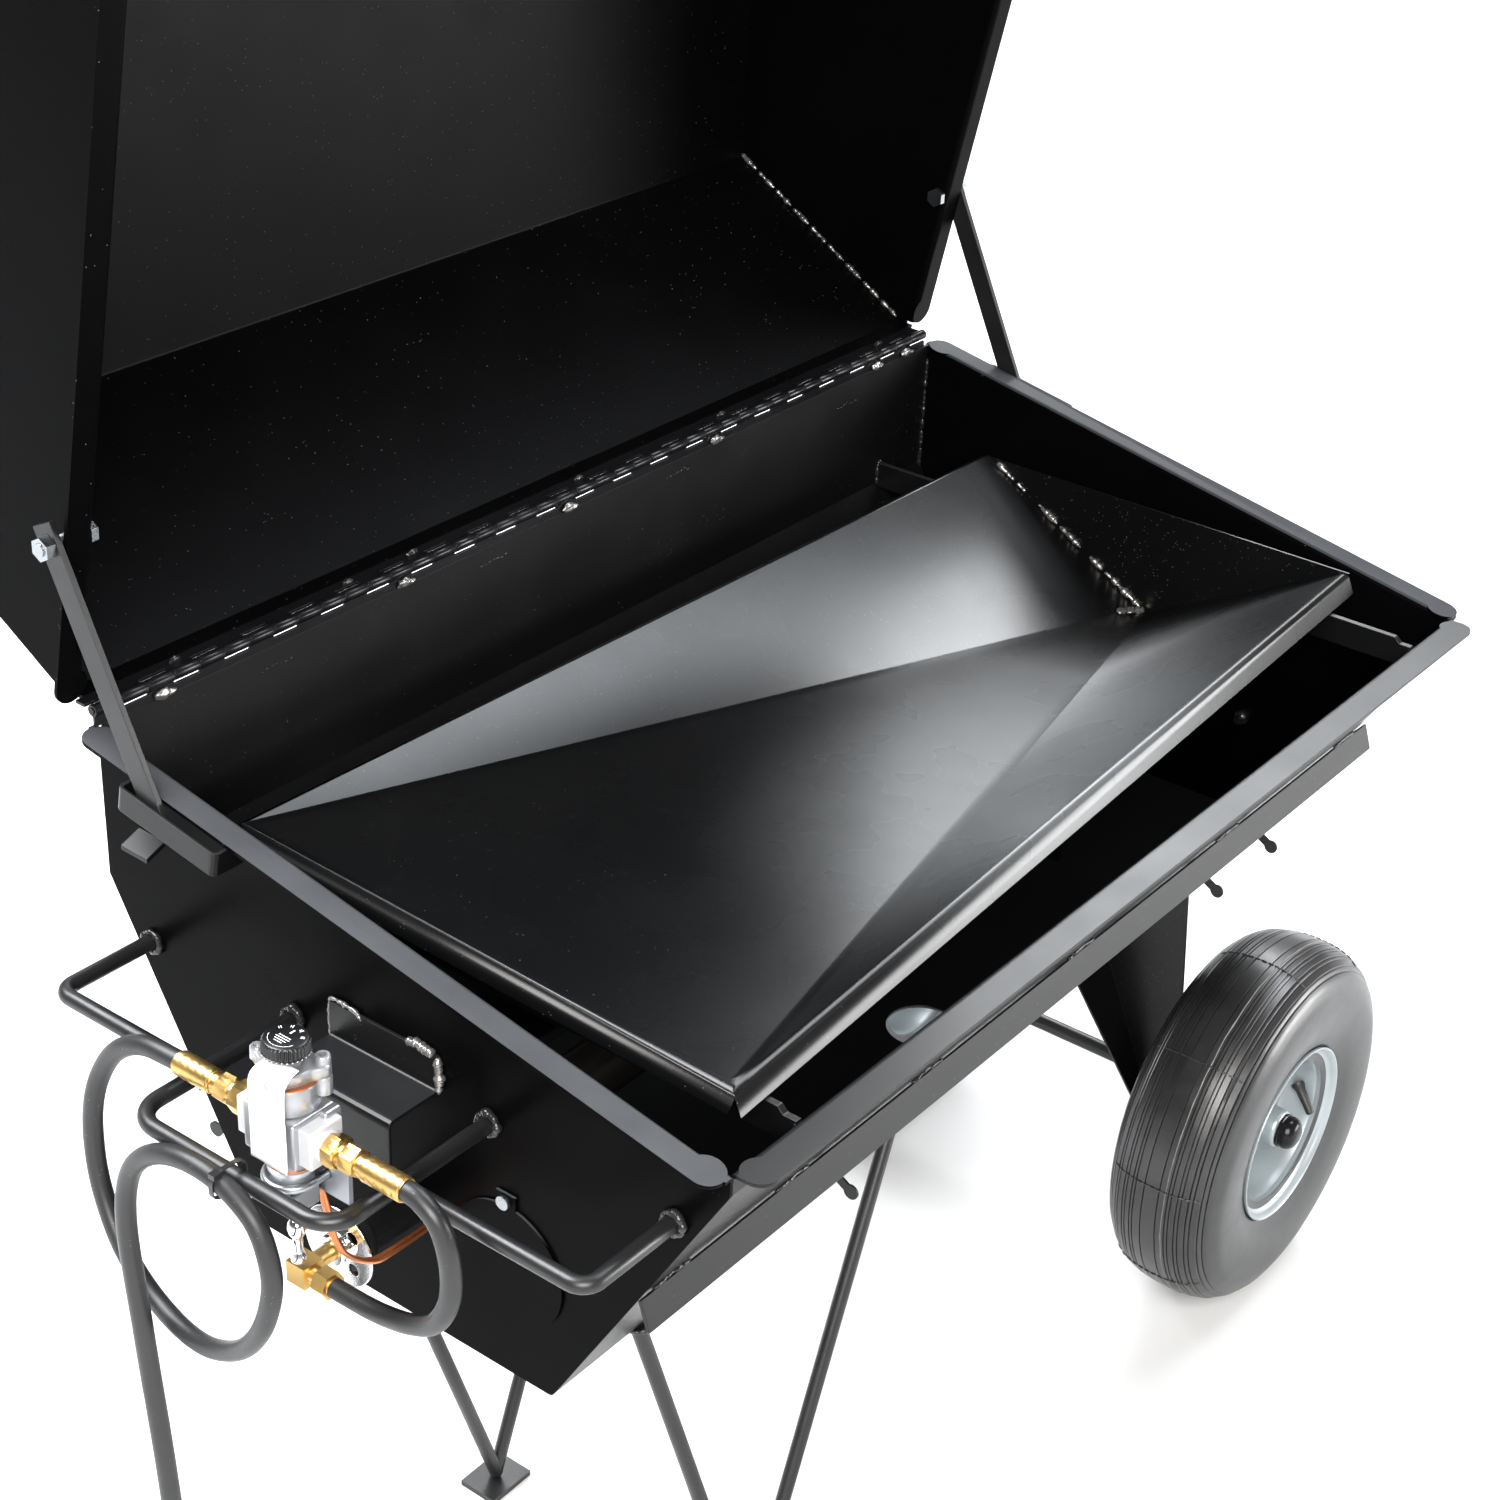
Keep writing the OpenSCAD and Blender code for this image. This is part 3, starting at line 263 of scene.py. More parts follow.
def pan_material():
    """Satin paint with fine dust, and a painted reflection: a soft pale patch where the folds meet.
    """
    n = Nodes("pan_paint")
    look = n.mix(n.span(n.noise(5, 4, 0.6), 0.3, 0.7), (0.0018, 0.0019, 0.0021),
                 (0.003, 0.0031, 0.0034))
    shift = n.add("ShaderNodeVectorMath", operation="SUBTRACT")
    n.link(n.place, shift.inputs[0])
    shift.inputs[1].default_value = at(*PAINTED_GLOW_AT)
    turned = n.add("ShaderNodeVectorRotate", rotation_type="Z_AXIS")
    n.link(shift.outputs["Vector"], turned.inputs["Vector"])
    turned.inputs["Angle"].default_value = PAINTED_GLOW_TURN
    flat = n.add("ShaderNodeVectorMath", operation="MULTIPLY")
    n.link(turned.outputs["Vector"], flat.inputs[0])
    flat.inputs[1].default_value = (1 / PAINTED_GLOW_LONG, 1 / PAINTED_GLOW_WIDE, 0)
    far = n.add("ShaderNodeVectorMath", operation="LENGTH")
    n.link(flat.outputs["Vector"], far.inputs[0])
    painted_glow_fade = n.add("ShaderNodeMapRange", interpolation_type="SMOOTHERSTEP")
    for key, value in (("From Min", 1.25), ("From Max", 0), ("To Min", 0), ("To Max", 1)):
        painted_glow_fade.inputs[key].default_value = value
    n.link(far.outputs["Value"], painted_glow_fade.inputs["Value"])
    painted_glow_share = n.math("MULTIPLY", painted_glow_fade.outputs["Result"], n.span(n.noise(30, 4), 0.2, 0.8, 0.85, 1))
    # Painted reflection: the colour turns pale grey in a soft, mottled patch where the folds meet.
    look = n.mix(painted_glow_share, look, (0.115, 0.12, 0.124))
    specks = n.math("MULTIPLY", n.dots(420, 0.2, 0.04), 0.4)
    look = n.mix(specks, look, (0.3, 0.3, 0.29))
    n.link(look, n.shader.inputs["Base Color"])
    n.link(n.span(n.noise(12, 2), 0.3, 0.7, 0.26, 0.29), n.shader.inputs["Roughness"])
    n.link(n.bump(n.noise(5, 1), 0.0004), n.shader.inputs["Normal"])
    n.shader.inputs["Specular IOR Level"].default_value = 0.36
    return n.material


def tyre_material():
    """Rubber with mould bloom: greyer where it is scuffed, with fine pits; the tread's fine lines use
    it too.
    """
    n = Nodes("tyre")
    cloud = n.noise(18, 6, 0.65)
    scuff = n.span(n.noise(7, 5, 0.7), 0.5, 0.72)
    base = n.mix(n.span(cloud, 0.35, 0.7), (0.007, 0.007, 0.0075), (0.013, 0.013, 0.0138))
    base = n.mix(scuff, base, (0.02, 0.02, 0.021))
    base = n.mix(n.math("MULTIPLY", n.dots(500, 0.2, 0.1), 0.4), base, (0.3, 0.29, 0.27))
    n.link(base, n.shader.inputs["Base Color"])
    n.link(n.span(cloud, 0.3, 0.7, 0.3, 0.4), n.shader.inputs["Roughness"])
    n.shader.inputs["Specular IOR Level"].default_value = 0.75
    pits = n.bump(n.noise(900, 3), 0.00005, 0.6)
    n.link(n.bump(n.noise(90, 3), 0.0002, 0.5, pits), n.shader.inputs["Normal"])
    return n.material


TYRE = tyre_material()
PAN_PAINT = pan_material()

CAD_LOOKS = {
    "front_panel": PAINT, "floor_panel": PAINT, "rear_panel": PAINT,
    "end_plate_left": END_PAINT, "end_plate_right": END_PAINT, "drip_rail": PAINT,
    "pan_supports": PAINT, "strap_guides": PAINT, "arm_stops": PAINT,
    "carry_handle": ROD, "valve_holder": ROD, "shield_bracket": PAINT,
    "vent_guides": PAINT, "drain_pipe": ROD, "burner_tube": BURNT,
    "burner_supports": PAINT, "mixer_tube": ROD, "orifice_elbow": BRASS,
    "valve_plate": DULL_PLATE, "valve_strap": ROD, "u_bolt": ZINC,
    "wheel_leg": PAINT, "axle": ROD, "stand_legs": ROD, "hinge_body_leaf": HINGE,
    "hinge_pin": HINGE, "port_screw": ZINC, "tie_bolt": ZINC, "port_cover": END_PAINT,
    "lid_sheet": LID_PAINT, "lid_end_left": LID_END, "lid_end_right": LID_END,
    "lid_handle": ROD, "hinge_lid_leaf": HINGE, "arm_bolts": ZINC,
    "prop_arm_left": ROD, "prop_arm_right": ROD, "air_shutter": CHROME,
    "vent_slide_1": PAINT, "vent_slide_2": PAINT, "vent_slide_3": PAINT,
    "vent_slide_rear": PAINT, "regulator": CASTING, "bottle_connector": BRASS,
}
SHEET_EDGE, FINE_EDGE = 0.0007, 0.0004
FINE_NODES = ("hinge_body_leaf", "hinge_lid_leaf", "hinge_pin", "u_bolt", "arm_bolts",
              "tie_bolt", "port_screw", "orifice_elbow")


def soften(piece, width):
    """Rounds a CAD piece's sharp edges by a modifier, so that they catch the light."""
    weld = piece.modifiers.new("weld", "WELD")
    weld.merge_threshold = 0.00002
    bevel = piece.modifiers.new("bevel", "BEVEL")
    bevel.width = width
    bevel.segments = 2
    bevel.limit_method = "ANGLE"
    bevel.angle_limit = math.radians(32)
    bevel.harden_normals = True


def dress_cad():
    for node, look in CAD_LOOKS.items():
        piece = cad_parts[node]
        for slot in piece.material_slots:
            slot.material = look
        soften(piece, FINE_EDGE if node in FINE_NODES else SHEET_EDGE)


dress_cad()

# --- mesh helpers ---------------------------------------------------------------


def add_mesh(name, verts, faces, look, body, smooth=40, replaces=(), slot=None, edge=0):
    """A mesh piece that rides on a body. smooth is the angle up to which it looks round."""
    data = bpy.data.meshes.new(name)
    data.from_pydata([tuple(v) for v in verts], [], faces)
    piece = bpy.data.objects.new(name, data)
    bpy.context.scene.collection.objects.link(piece)
    shape = bmesh.new()
    shape.from_mesh(data)
    bmesh.ops.recalc_face_normals(shape, faces=shape.faces)
    for line in shape.edges:
        line.smooth = not line.is_manifold or line.calc_face_angle(0) < math.radians(smooth)
    for face in shape.faces:
        face.smooth = True
    shape.to_mesh(data)
    shape.free()
    data.materials.append(look)
    if edge:
        bevel = piece.modifiers.new("bevel", "BEVEL")
        bevel.width = edge
        bevel.segments = 3
        bevel.limit_method = "ANGLE"
        bevel.angle_limit = math.radians(smooth)
        bevel.harden_normals = True
    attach(piece, body)
    if replaces:
        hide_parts(*replaces)
    return piece


class Shape:
    """Collects the vertices and faces of one piece made of several solids."""

    def __init__(self):
        self.verts, self.faces = [], []

    def add(self, verts, faces):
        start = len(self.verts)
        self.verts += [Vector(v) for v in verts]
        self.faces += [[start + i for i in face] for face in faces]

    def make(self, name, look, body, **rest):
        return add_mesh(name, self.verts, self.faces, look, body, **rest)

    def rings(self, rings, caps=True):
        """Joins rings of equal length into a skin, closed at both ends."""
        n = len(rings[0])
        faces = [
            (i * n + k, i * n + (k + 1) % n, (i + 1) * n + (k + 1) % n, (i + 1) * n + k)
            for i in range(len(rings) - 1)
            for k in range(n)
        ]
        if caps:
            faces += [tuple(range(n - 1, -1, -1)), tuple(range((len(rings) - 1) * n, len(rings) * n))]
        self.add([p for ring in rings for p in ring], faces)

    def lathe(self, outline, centre, axis, steps=48, caps=True):
        """Turns (radius, height) pairs about the axis through centre."""
        axis = Vector(axis).normalized()
        u = axis.orthogonal().normalized()
        v = axis.cross(u)
        spokes = [
            u * math.cos(math.tau * k / steps) + v * math.sin(math.tau * k / steps)
            for k in range(steps)
        ]
        self.rings([[centre + s * r * MM + axis * h * MM for s in spokes] for r, h in outline], caps)

    def hexagon(self, flat, h0, h1, centre, axis, spin=0.0, chamfer=0.9):
        """A nut: six flats, with its corners turned off at both ends."""
        axis = Vector(axis).normalized()
        u = axis.orthogonal().normalized()
        v = axis.cross(u)
        steps = 36
        corner = flat / 2 / math.cos(math.pi / 6)
        rings = []
        for h, limit in ((h0, flat / 2 * 0.97), (h0 + chamfer, corner), (h1 - chamfer, corner),
                         (h1, flat / 2 * 0.97)):
            ring = []
            for k in range(steps):
                a = math.tau * k / steps
                near = (a + math.pi / 6) % (math.pi / 3) - math.pi / 6
                r = min(flat / 2 / math.cos(near), limit)
                ring.append(centre + (u * math.cos(a + spin) + v * math.sin(a + spin)) * r * MM
                            + axis * h * MM)
            rings.append(ring)
        self.rings(rings)

    def tube(self, points, radius, sides=12):
        """A round tube along the points. radius is in metres, a number or one per point."""
        self.rings([
            [p + (u * math.cos(math.tau * k / sides) + v * math.sin(math.tau * k / sides))
             * (radius[i] if isinstance(radius, list) else radius) for k in range(sides)]
            for i, (p, u, v) in enumerate(framed(points))
        ])

    def block(self, low, high):
        x0, y0, z0 = low
        x1, y1, z1 = high
        self.add([at(x, y, z) for x in (x0, x1) for y in (y0, y1) for z in (z0, z1)],
                 [(0, 1, 3, 2), (4, 6, 7, 5), (0, 4, 5, 1), (2, 3, 7, 6), (0, 2, 6, 4), (1, 5, 7, 3)])


def framed(points):
    """Each point with two directions across the line, turned as little as they can be."""
    found = []
    across = None
    for i, p in enumerate(points):
        ahead = (points[min(i + 1, len(points) - 1)] - points[max(i - 1, 0)]).normalized()
        across = ahead.orthogonal() if across is None else across - ahead * across.dot(ahead)
        across.normalize()
        found.append((p, across.copy(), ahead.cross(across)))
    return found


def smooth_line(points, gap=0.004):
    """A Catmull-Rom curve through the points, at about the given spacing in metres."""
    ends = [points[0] * 2 - points[1], *points, points[-1] * 2 - points[-2]]
    line = []
    for i in range(1, len(ends) - 2):
        a, b, c, d = ends[i - 1 : i + 3]
        steps = max(1, round((c - b).length / gap))
        for k in range(steps):
            t = k / steps
            line.append(0.5 * (2 * b + (c - a) * t + (2 * a - 5 * b + 4 * c - d) * t * t
                               + (3 * b - a - 3 * c + d) * t ** 3))
    return [*line, points[-1].copy()]


def length_of(line):
    return sum((b - a).length for a, b in zip(line, line[1:]))


# --- hoses ------------------------------------------------------------------------

HOSE_D = 15
HOSE_END_Z = -(ORIGIN.z / MM) + HOSE_D / 2
SUPPLY_ROUTE = [
    (-115.4, 387.2, -32), (-116, 402, -32), (-116, 420, -34), (-117, 437, -41),
    (-118, 452, -53), (-119, 464, -70), (-121, 473, -92), (-123, 477, -116),
    (-125, 476, -141), (-128, 470, -165), (-131, 459, -188), (-135, 442, -209),
    (-139, 419, -225), (-143, 392, -235), (-148, 363, -237), (-153, 334, -231),
    (-157, 307, -217), (-161, 284, -197), (-164, 266, -172), (-166, 254, -145),
    (-167, 248, -118), (-168, 250, -94), (-168, 259, -74), (-168, 276, -61),
    (-168, 297, -54), (-168, 320, -53), (-168, 343, -58), (-168, 363, -69),
    (-168, 379, -86), (-168, 388, -107), (-168, 392, -131), (-168, 392, -158),
    (-168, 389, -190), (-168, 385, -225), (-168, 381, -265), (-168, 376, -310),
    (-168, 371, -360), (-168, 367, -410), (-168, 363, -460), (-168, 360, -510),
    (-168, 357, -560), (-168, 352, -605), (-168, 343, -645), (-168, 328, -681),
    (-168, 306, -707), (-168, 279, -722), (-168, 250, HOSE_END_Z), (-168, 220, HOSE_END_Z),
    (-166, 190, HOSE_END_Z), (-160, 162, HOSE_END_Z),
]
OUTLET_ROUTE = [
    (-115.4, 172.7, -32), (-115.4, 164, -32.8), (-115, 150, -41), (-114, 143, -53),
    (-113, 139, -69), (-111, 139, -88), (-109, 142, -108), (-107, 150, -128),
    (-104, 163, -146), (-101, 181, -159), (-99, 203, -168), (-98, 228, -173),
    (-98, 262, -174),
]


def make_hoses():
    line = smooth_line([at(*p) for p in SUPPLY_ROUTE], 0.006)
    shape = Shape()
    shape.tube(line, HOSE_D / 2 * MM, 24)
    hose = shape.make("supply_hose_tube", RUBBER, "trough", replaces=["supply_hose"], slot="rubber")
    print("supply hose length", round(length_of(line), 4))
    line = smooth_line([at(*p) for p in OUTLET_ROUTE], 0.004)
    shape = Shape()
    shape.tube(line, HOSE_D / 2 * MM, 24)
    shape.make("outlet_hose_tube", RUBBER, "trough", replaces=["outlet_hose"], slot="rubber")


make_hoses()

# --- welds ------------------------------------------------------------------------


def uneven(p, scale=400, seed=0.0):
    """A fixed random number from -1 to 1 for a place."""
    return noise.noise(p * scale + Vector((seed, seed * 1.7, -seed)))


def bead(shape, points, radius, seed=0.0, lump=0.3):
    """A rippled weld bead along the points, in metres."""
    line = smooth_line(points, 0.0011)
    radii = []
    places = []
    for i, p in enumerate(line):
        ripple = 0.88 + 0.1 * math.cos(i * 1.3) + lump * uneven(p, 170, seed)
        fade = min(1.0, 0.45 + i / 5, 0.45 + (len(line) - 1 - i) / 5)
        radii.append(radius * MM * max(0.35, ripple) * fade)
        places.append(p + Vector((uneven(p, 260, seed + 3), uneven(p, 260, seed + 5),
                                  uneven(p, 260, seed + 7))) * radius * MM * 0.22)
    shape.tube(places, radii, 9)


def weld_ring(shape, centre, axis, ring, radius, seed=0.0, share=1.0):
    """A bead all or part of the way round a bar."""
    axis = Vector(axis).normalized()
    u = axis.orthogonal().normalized()
    v = axis.cross(u)
    turns = [math.tau * share * k / 20 for k in range(21)]
    bead(shape, [centre + (u * math.cos(a) + v * math.sin(a)) * ring * MM for a in turns],
         radius, seed, 0.45)


def blob(shape, centre, size, seed=0.0):
    """A small lump of weld."""
    base = bmesh.new()
    bmesh.ops.create_icosphere(base, subdivisions=3, radius=1)
    for v in base.verts:
        swell = 1 + 0.35 * noise.noise(v.co * 1.7 + Vector((seed, -seed, seed * 2)))
        v.co = Vector((v.co.x * size[0], v.co.y * size[1], v.co.z * size[2])) * MM * swell
    shape.add([centre + v.co for v in base.verts],
              [[v.index for v in f.verts] for f in base.faces])
    base.free()


HINGE_Z = 121.39


def rim_z(y):
    return y * math.tan(RIM_SLOPE)


def make_body_welds():
    dark = Shape()
    for k, y in enumerate((43, 206, 396, 546)):
        weld_ring(dark, at(-2.2, y, -59.5), (1, 0, 0), 8.2, 3.6, k * 2.3)
    for k, y in enumerate((199.4, 402.6)):
        weld_ring(dark, at(-90, y, -59.5), (0, 1, 0), 7, 2.3, 11 + k)
    for k, (y, z) in enumerate(((213, -60), (389, -60))):
        bead(dark, [at(-97.5, y, z - 7), at(-98.5, y, z), at(-97.5, y, z + 7)], 2, 21 + k)
    lug = Shape()
    bead(lug, [at(-2, 357, -57), at(-2, 358, -40), at(-2, 357, -24)], 1.7, 30, 0.5)
    bead(lug, [at(-2, 357, -24), at(-2.5, 345, -22.5), at(-2.5, 330, -25), at(-3, 325, -29)],
         2.1, 32, 0.7)
    bead(lug, [at(-2.5, 283, -25.5), at(-3, 270, -23.5), at(-3, 256, -25)], 4, 33, 0.9)
    bead(lug, [at(-2, 253, -27), at(-3, 251, -42), at(-3, 251.5, -56)], 3.2, 31, 0.9)
    lug.make("bracket_welds", SILVER_WELD, "trough", smooth=70)
    for k, z in enumerate((95, 62, 30, -2)):
        bead(dark, [at(1068, 586.5, z), at(1068.5, 587, z - 15), at(1068, 586.5, z - 31)], 2.4,
             40 + k, 0.5)
        bead(dark, [at(5, 586.5, z), at(4.5, 587, z - 15), at(5, 586.5, z - 31)], 2.2,
             50 + k, 0.5)
    for k, (x, y) in enumerate(((77, 587), (77, 4), (996, 587), (996, 4))):
        top = 4.2 if y > BODY_W / 2 else -4.2
        bead(dark, [at(x - 3, y, top - 1), at(x - 4, y, top - 12), at(x - 3, y, -19)], 2.2,
             60 + k, 0.6)
        bead(dark, [at(x - 4, y, top), at(x, y, top + 0.5), at(x + 4, y, top)], 2.2, 65 + k,
             0.6)
    for k, x in enumerate((1034, 808, 561, 338, 167, 30)):
        bead(dark, [at(x - 20, 67, -136), at(x, 67.6, -135), at(x + 20, 67, -136)], 2.4,
             70 + k, 0.6)
    for k, y in enumerate((441, 541)):
        for x in (-1.5, BODY_L + 1.5):
            z = rim_z(y) - 14
            bead(dark, [at(x, y, z + 9), at(x, y, z), at(x, y, z - 9)], 1.8, 80 + k, 0.5)
    for k, x in enumerate((98, 426)):
        for y in (150, 441):
            weld_ring(dark, at(x, y, -DEPTH - 1.5), (0, 0, 1), 7, 2.4, 90 + k)
    weld_ring(dark, at(BODY_L + 1.5, 296, -69), (1, 0, 0), 17.5, 2.6, 97)
    dark.make("body_welds", WELD, "trough", smooth=70)
    bright = Shape()
    for k, x in enumerate((59, 315, 517, 722, 977, 1028)):
        blob(bright, at(x, 586.5, 112.5), (7, 2.6, 4.2), k * 1.9)
        blob(bright, at(x + 8, 587, 111), (5, 2, 2.4), k * 1.9 + 7)
    bright.make("hinge_tacks", SILVER_WELD, "trough", smooth=70)
    scuffs = Shape()
    for k, (x, z) in enumerate(((159, 92), (408, 95), (654, 97), (917, 86))):
        for j in range(7):
            p = at(x + 5 * j, 587.6, z + 3 * uneven(at(x + j, 0, z), 900, k))
            blob(scuffs, p, (1.8 + uneven(p, 500, 2), 0.25, 0.5), k * 3.1 + j)
    scuffs.make("panel_scuffs", WELD, "trough", smooth=70)


make_body_welds()


def lid_at(x, y, z):
    """A point of the closed lid, in trough millimetres, where the open lid has it."""
    a = -LID_OPEN
    dy, dz = y - BODY_W, z - HINGE_Z
    return at(x, BODY_W + dy * math.cos(a) - dz * math.sin(a),
              HINGE_Z + dy * math.sin(a) + dz * math.cos(a))


LID_OPEN = math.radians(89.1)
LID_SHOULDER = HINGE_Z + 35
LID_RUN, LID_RISE = 244 * math.cos(SLANT), 244 * math.sin(SLANT)


def make_lid_welds():
    seam = Shape()
    for side, x in ((1, BODY_L - 4.5), (2, 4.5)):
        for k in range(9):
            s0, s1 = 0.02 + k * 0.11, 0.115 + k * 0.11
            ends = [
                lid_at(x, BODY_W - 4.5 - s * LID_RUN, LID_SHOULDER - 2 + s * LID_RISE)
                for s in (s0, (s0 + s1) / 2, s1)
            ]
            bead(seam, ends, 2.6, side * 10 + k, 0.7)
    seam.make("lid_seam_welds", SILVER_WELD, "lid", smooth=70)
    tacks = Shape()
    for k, x in enumerate((85, 267, 341, 548, 749, 1000)):
        blob(tacks, lid_at(x, BODY_W - 3.6, HINGE_Z + 11), (6, 2.2, 3.2), 40 + k * 1.3)
    tacks.make("lid_tacks", WELD, "lid", smooth=70)


make_lid_welds()

# --- drip pan -----------------------------------------------------------------------

PAN_FL, PAN_FR = Vector((48, 36.5, 25)), Vector((1046, 96, 25))
PAN_RR, PAN_RL = Vector((1046, 490, 25)), Vector((68, 513, 25))
PAN_D = Vector((1046, 298, -84))


def rolled(corner, drop):
    """The corner's points down over the rolled rear edge."""
    turns = [math.radians(15 * k) for k in range(1, 7)]
    arc = [corner + Vector((0, 14 * math.sin(a), 14 * (math.cos(a) - 1))) for a in turns]
    return [*arc, arc[-1] - Vector((0, 0, drop))]


def make_pan():
    """The folded sheet: three facets, a rolled rear edge, and two turned-down flanges."""
    shape = bmesh.new()
    points = {
        "fl": PAN_FL, "fr": PAN_FR, "rr": PAN_RR, "rl": PAN_RL, "d": PAN_D,
        "fl_low": PAN_FL + Vector((-2, -9, -19)), "fr_low": PAN_FR + Vector((0, -9, -19)),
        "l_low": PAN_FL + Vector((-3, 2, -20.5)), "r_low": PAN_RL + Vector((-3, -2, -24)),
    }
    made = {key: shape.verts.new(p) for key, p in points.items()}
    for names in (("fl", "d", "fr"), ("fl", "rl", "d"), ("rl", "rr", "d"),
                  ("fl_low", "fl", "fr", "fr_low"), ("l_low", "r_low", "rl", "fl")):
        shape.faces.new([made[k] for k in names])
    last = (made["rl"], made["rr"])
    for a, b in zip(rolled(PAN_RL, 7), rolled(PAN_RR, 7)):
        row = (shape.verts.new(a), shape.verts.new(b))
        shape.faces.new((last[0], row[0], row[1], last[1]))
        last = row
    bmesh.ops.recalc_face_normals(shape, faces=shape.faces)
    shape.edges.ensure_lookup_table()

    def edge(a, b):
        return next(e for e in made[a].link_edges if e.other_vert(made[a]) is made[b])

    soft = [edge("fl", "fr"), edge("fl", "rl")]
    folds = [edge("fl", "d"), edge("rl", "d")]
    bmesh.ops.bevel(shape, geom=soft + folds, offset=6, segments=5, affect="EDGES",
                    profile=0.5, offset_type="OFFSET")
    if sum(f.normal.z for f in shape.faces) < 0:
        bmesh.ops.reverse_faces(shape, faces=shape.faces)
    verts = [at(*v.co) for v in shape.verts]
    shape.verts.index_update()
    faces = [[v.index for v in f.verts] for f in shape.faces]
    shape.free()
    pan = add_mesh("drip_pan_sheet", verts, faces, PAN_PAINT, "drip_pan", smooth=38,
                   replaces=["drip_pan"])
    thick = pan.modifiers.new("thickness", "SOLIDIFY")
    thick.thickness = 0.002
    thick.offset = -1
    flat = pan.modifiers.new("flat_facets", "WEIGHTED_NORMAL")
    flat.weight = 100
    flat.keep_sharp = True
    plate = Shape()
    ends = [(PAN_FR.y - 2, 24), (PAN_RR.y + 2, 24), (PAN_D.y, -87)]
    plate.add([at(x, y, z) for x in (1045, 1047) for y, z in ends],
              [(0, 1, 2), (5, 4, 3), (0, 3, 4, 1), (1, 4, 5, 2), (2, 5, 3, 0)])
    plate.make("drip_pan_end", PAN_PAINT, "drip_pan", smooth=30)
    weld = Shape()
    for k, (a, b) in enumerate(((0.06, 0.17), (0.19, 0.24), (0.33, 0.45), (0.47, 0.6),
                                (0.66, 0.74), (0.76, 0.98))):
        line = [
            at(1043.5, *(PAN_RR.lerp(PAN_D, a + (b - a) * t).yz + Vector((0, 2.2))))
            for t in (0, 0.33, 0.66, 1)
        ]
        bead(weld, line, 3.0, 5 + k, 0.75)
    for k in range(3):
        blob(weld, at(1038 - 9 * k, 300 + 5 * k, -80 + k), (6, 5, 3), 9 + k)
    weld.make("drip_pan_welds", SILVER_WELD, "drip_pan", smooth=70)


make_pan()

# --- wheels --------------------------------------------------------------------------

TYRE_R, AXLE_X, AXLE_Z = 190, 978, -547
TREAD = [(0, 0), (12, -0.4), (24, -2), (36, -5.5), (46, -12), (54, -21), (59.3, -33), (60.5, -45),
         (59.8, -60), (57.5, -75), (54, -87), (51.5, -95), (50, -97)]
GROOVES = (8, 17.5, 21, 27, 30.5, 37, 40.5, 47, 50.5)


def tread_height(w):
    """The tyre's radius at w from its middle, on its outside."""
    w = abs(w)
    for (w0, h0), (w1, h1) in zip(TREAD, TREAD[1:]):
        if w <= w1 and w1 > w0:
            return TYRE_R + h0 + (h1 - h0) * (w - w0) / (w1 - w0)
    return TYRE_R + TREAD[7][1]


def tyre_outline():
    """(radius, width) round the tyre: ribs and narrow grooves, then plain side walls."""
    half = []
    for g in GROOVES:
        for w, cut_in in ((g - 0.8, 0), (g - 0.45, 0.4), (g - 0.3, 1.8), (g + 0.3, 1.8),
                          (g + 0.45, 0.4), (g + 0.8, 0)):
            half.append((tread_height(w) - cut_in, w))
    half += [(tread_height(52.5), 52.5)]
    side = smooth_line([Vector((TYRE_R + h, w, 0)) * MM for w, h in TREAD[5:]], 0.004)
    half += [(p.x / MM, p.y / MM) for p in side]
    half += [(93, 49), (88, 46), (76.2, 45)]
    return [(r, -w) for r, w in reversed(half)] + half


def make_tyre(name, node, body, y):
    centre = at(AXLE_X, y, AXLE_Z)
    outline = tyre_outline()
    shape = Shape()
    steps = 160
    rings = []
    for r, w in [*outline, (76.2, 30), (76.2, -30)]:
        ring = []
        for k in range(steps):
            a = math.tau * k / steps
            out = Vector((math.cos(a), 0, math.sin(a)))
            place = centre + out * r * MM + Vector((0, w, 0)) * MM
            if r > 150:
                place += out * 0.0004 * uneven(place, 60)
            ring.append(place)
        rings.append(ring)
    shape.rings(rings, caps=False)
    tyre = shape.make(name, TYRE, body, smooth=28, replaces=[node], slot="tyre")
    marks = Shape()
    flash = []
    for k in range(241):
        a = math.tau * k / 240
        out = Vector((math.cos(a), 0, math.sin(a)))
        p = centre + out * TYRE_R * MM
        w = -14.5 + 0.7 * uneven(p, 45, 9)
        flash.append(centre + out * (tread_height(w) - 0.1) * MM + Vector((0, w, 0)) * MM)
    radii = [(0.5 + 0.7 * max(0.0, uneven(p, 130, 4))) * MM for p in flash]
    marks.tube(flash, radii, 6)
    marks.make(name + "_mould_flash", FLASH, body, smooth=70)
    marks = Shape()
    for k in range(9):
        a = math.tau * (k + 0.35) / 9
        out = Vector((math.cos(a), 0, math.sin(a)))
        for j in range(-7, 8):
            w0, w1 = j * 7.2 - 2.9, j * 7.2 + 2.6
            if max(abs(w0), abs(w1)) > 52:
                continue
            line = [centre + out * (tread_height(w) + 0.25) * MM + Vector((0, w, 0)) * MM
                    for w in (w0, (w0 + w1) / 2, w1)]
            marks.tube(line, [0.7 * MM, 1.0 * MM, 0.7 * MM], 6)
    marks.make(name + "_mould_lines", TYRE, body, smooth=70)
    return tyre


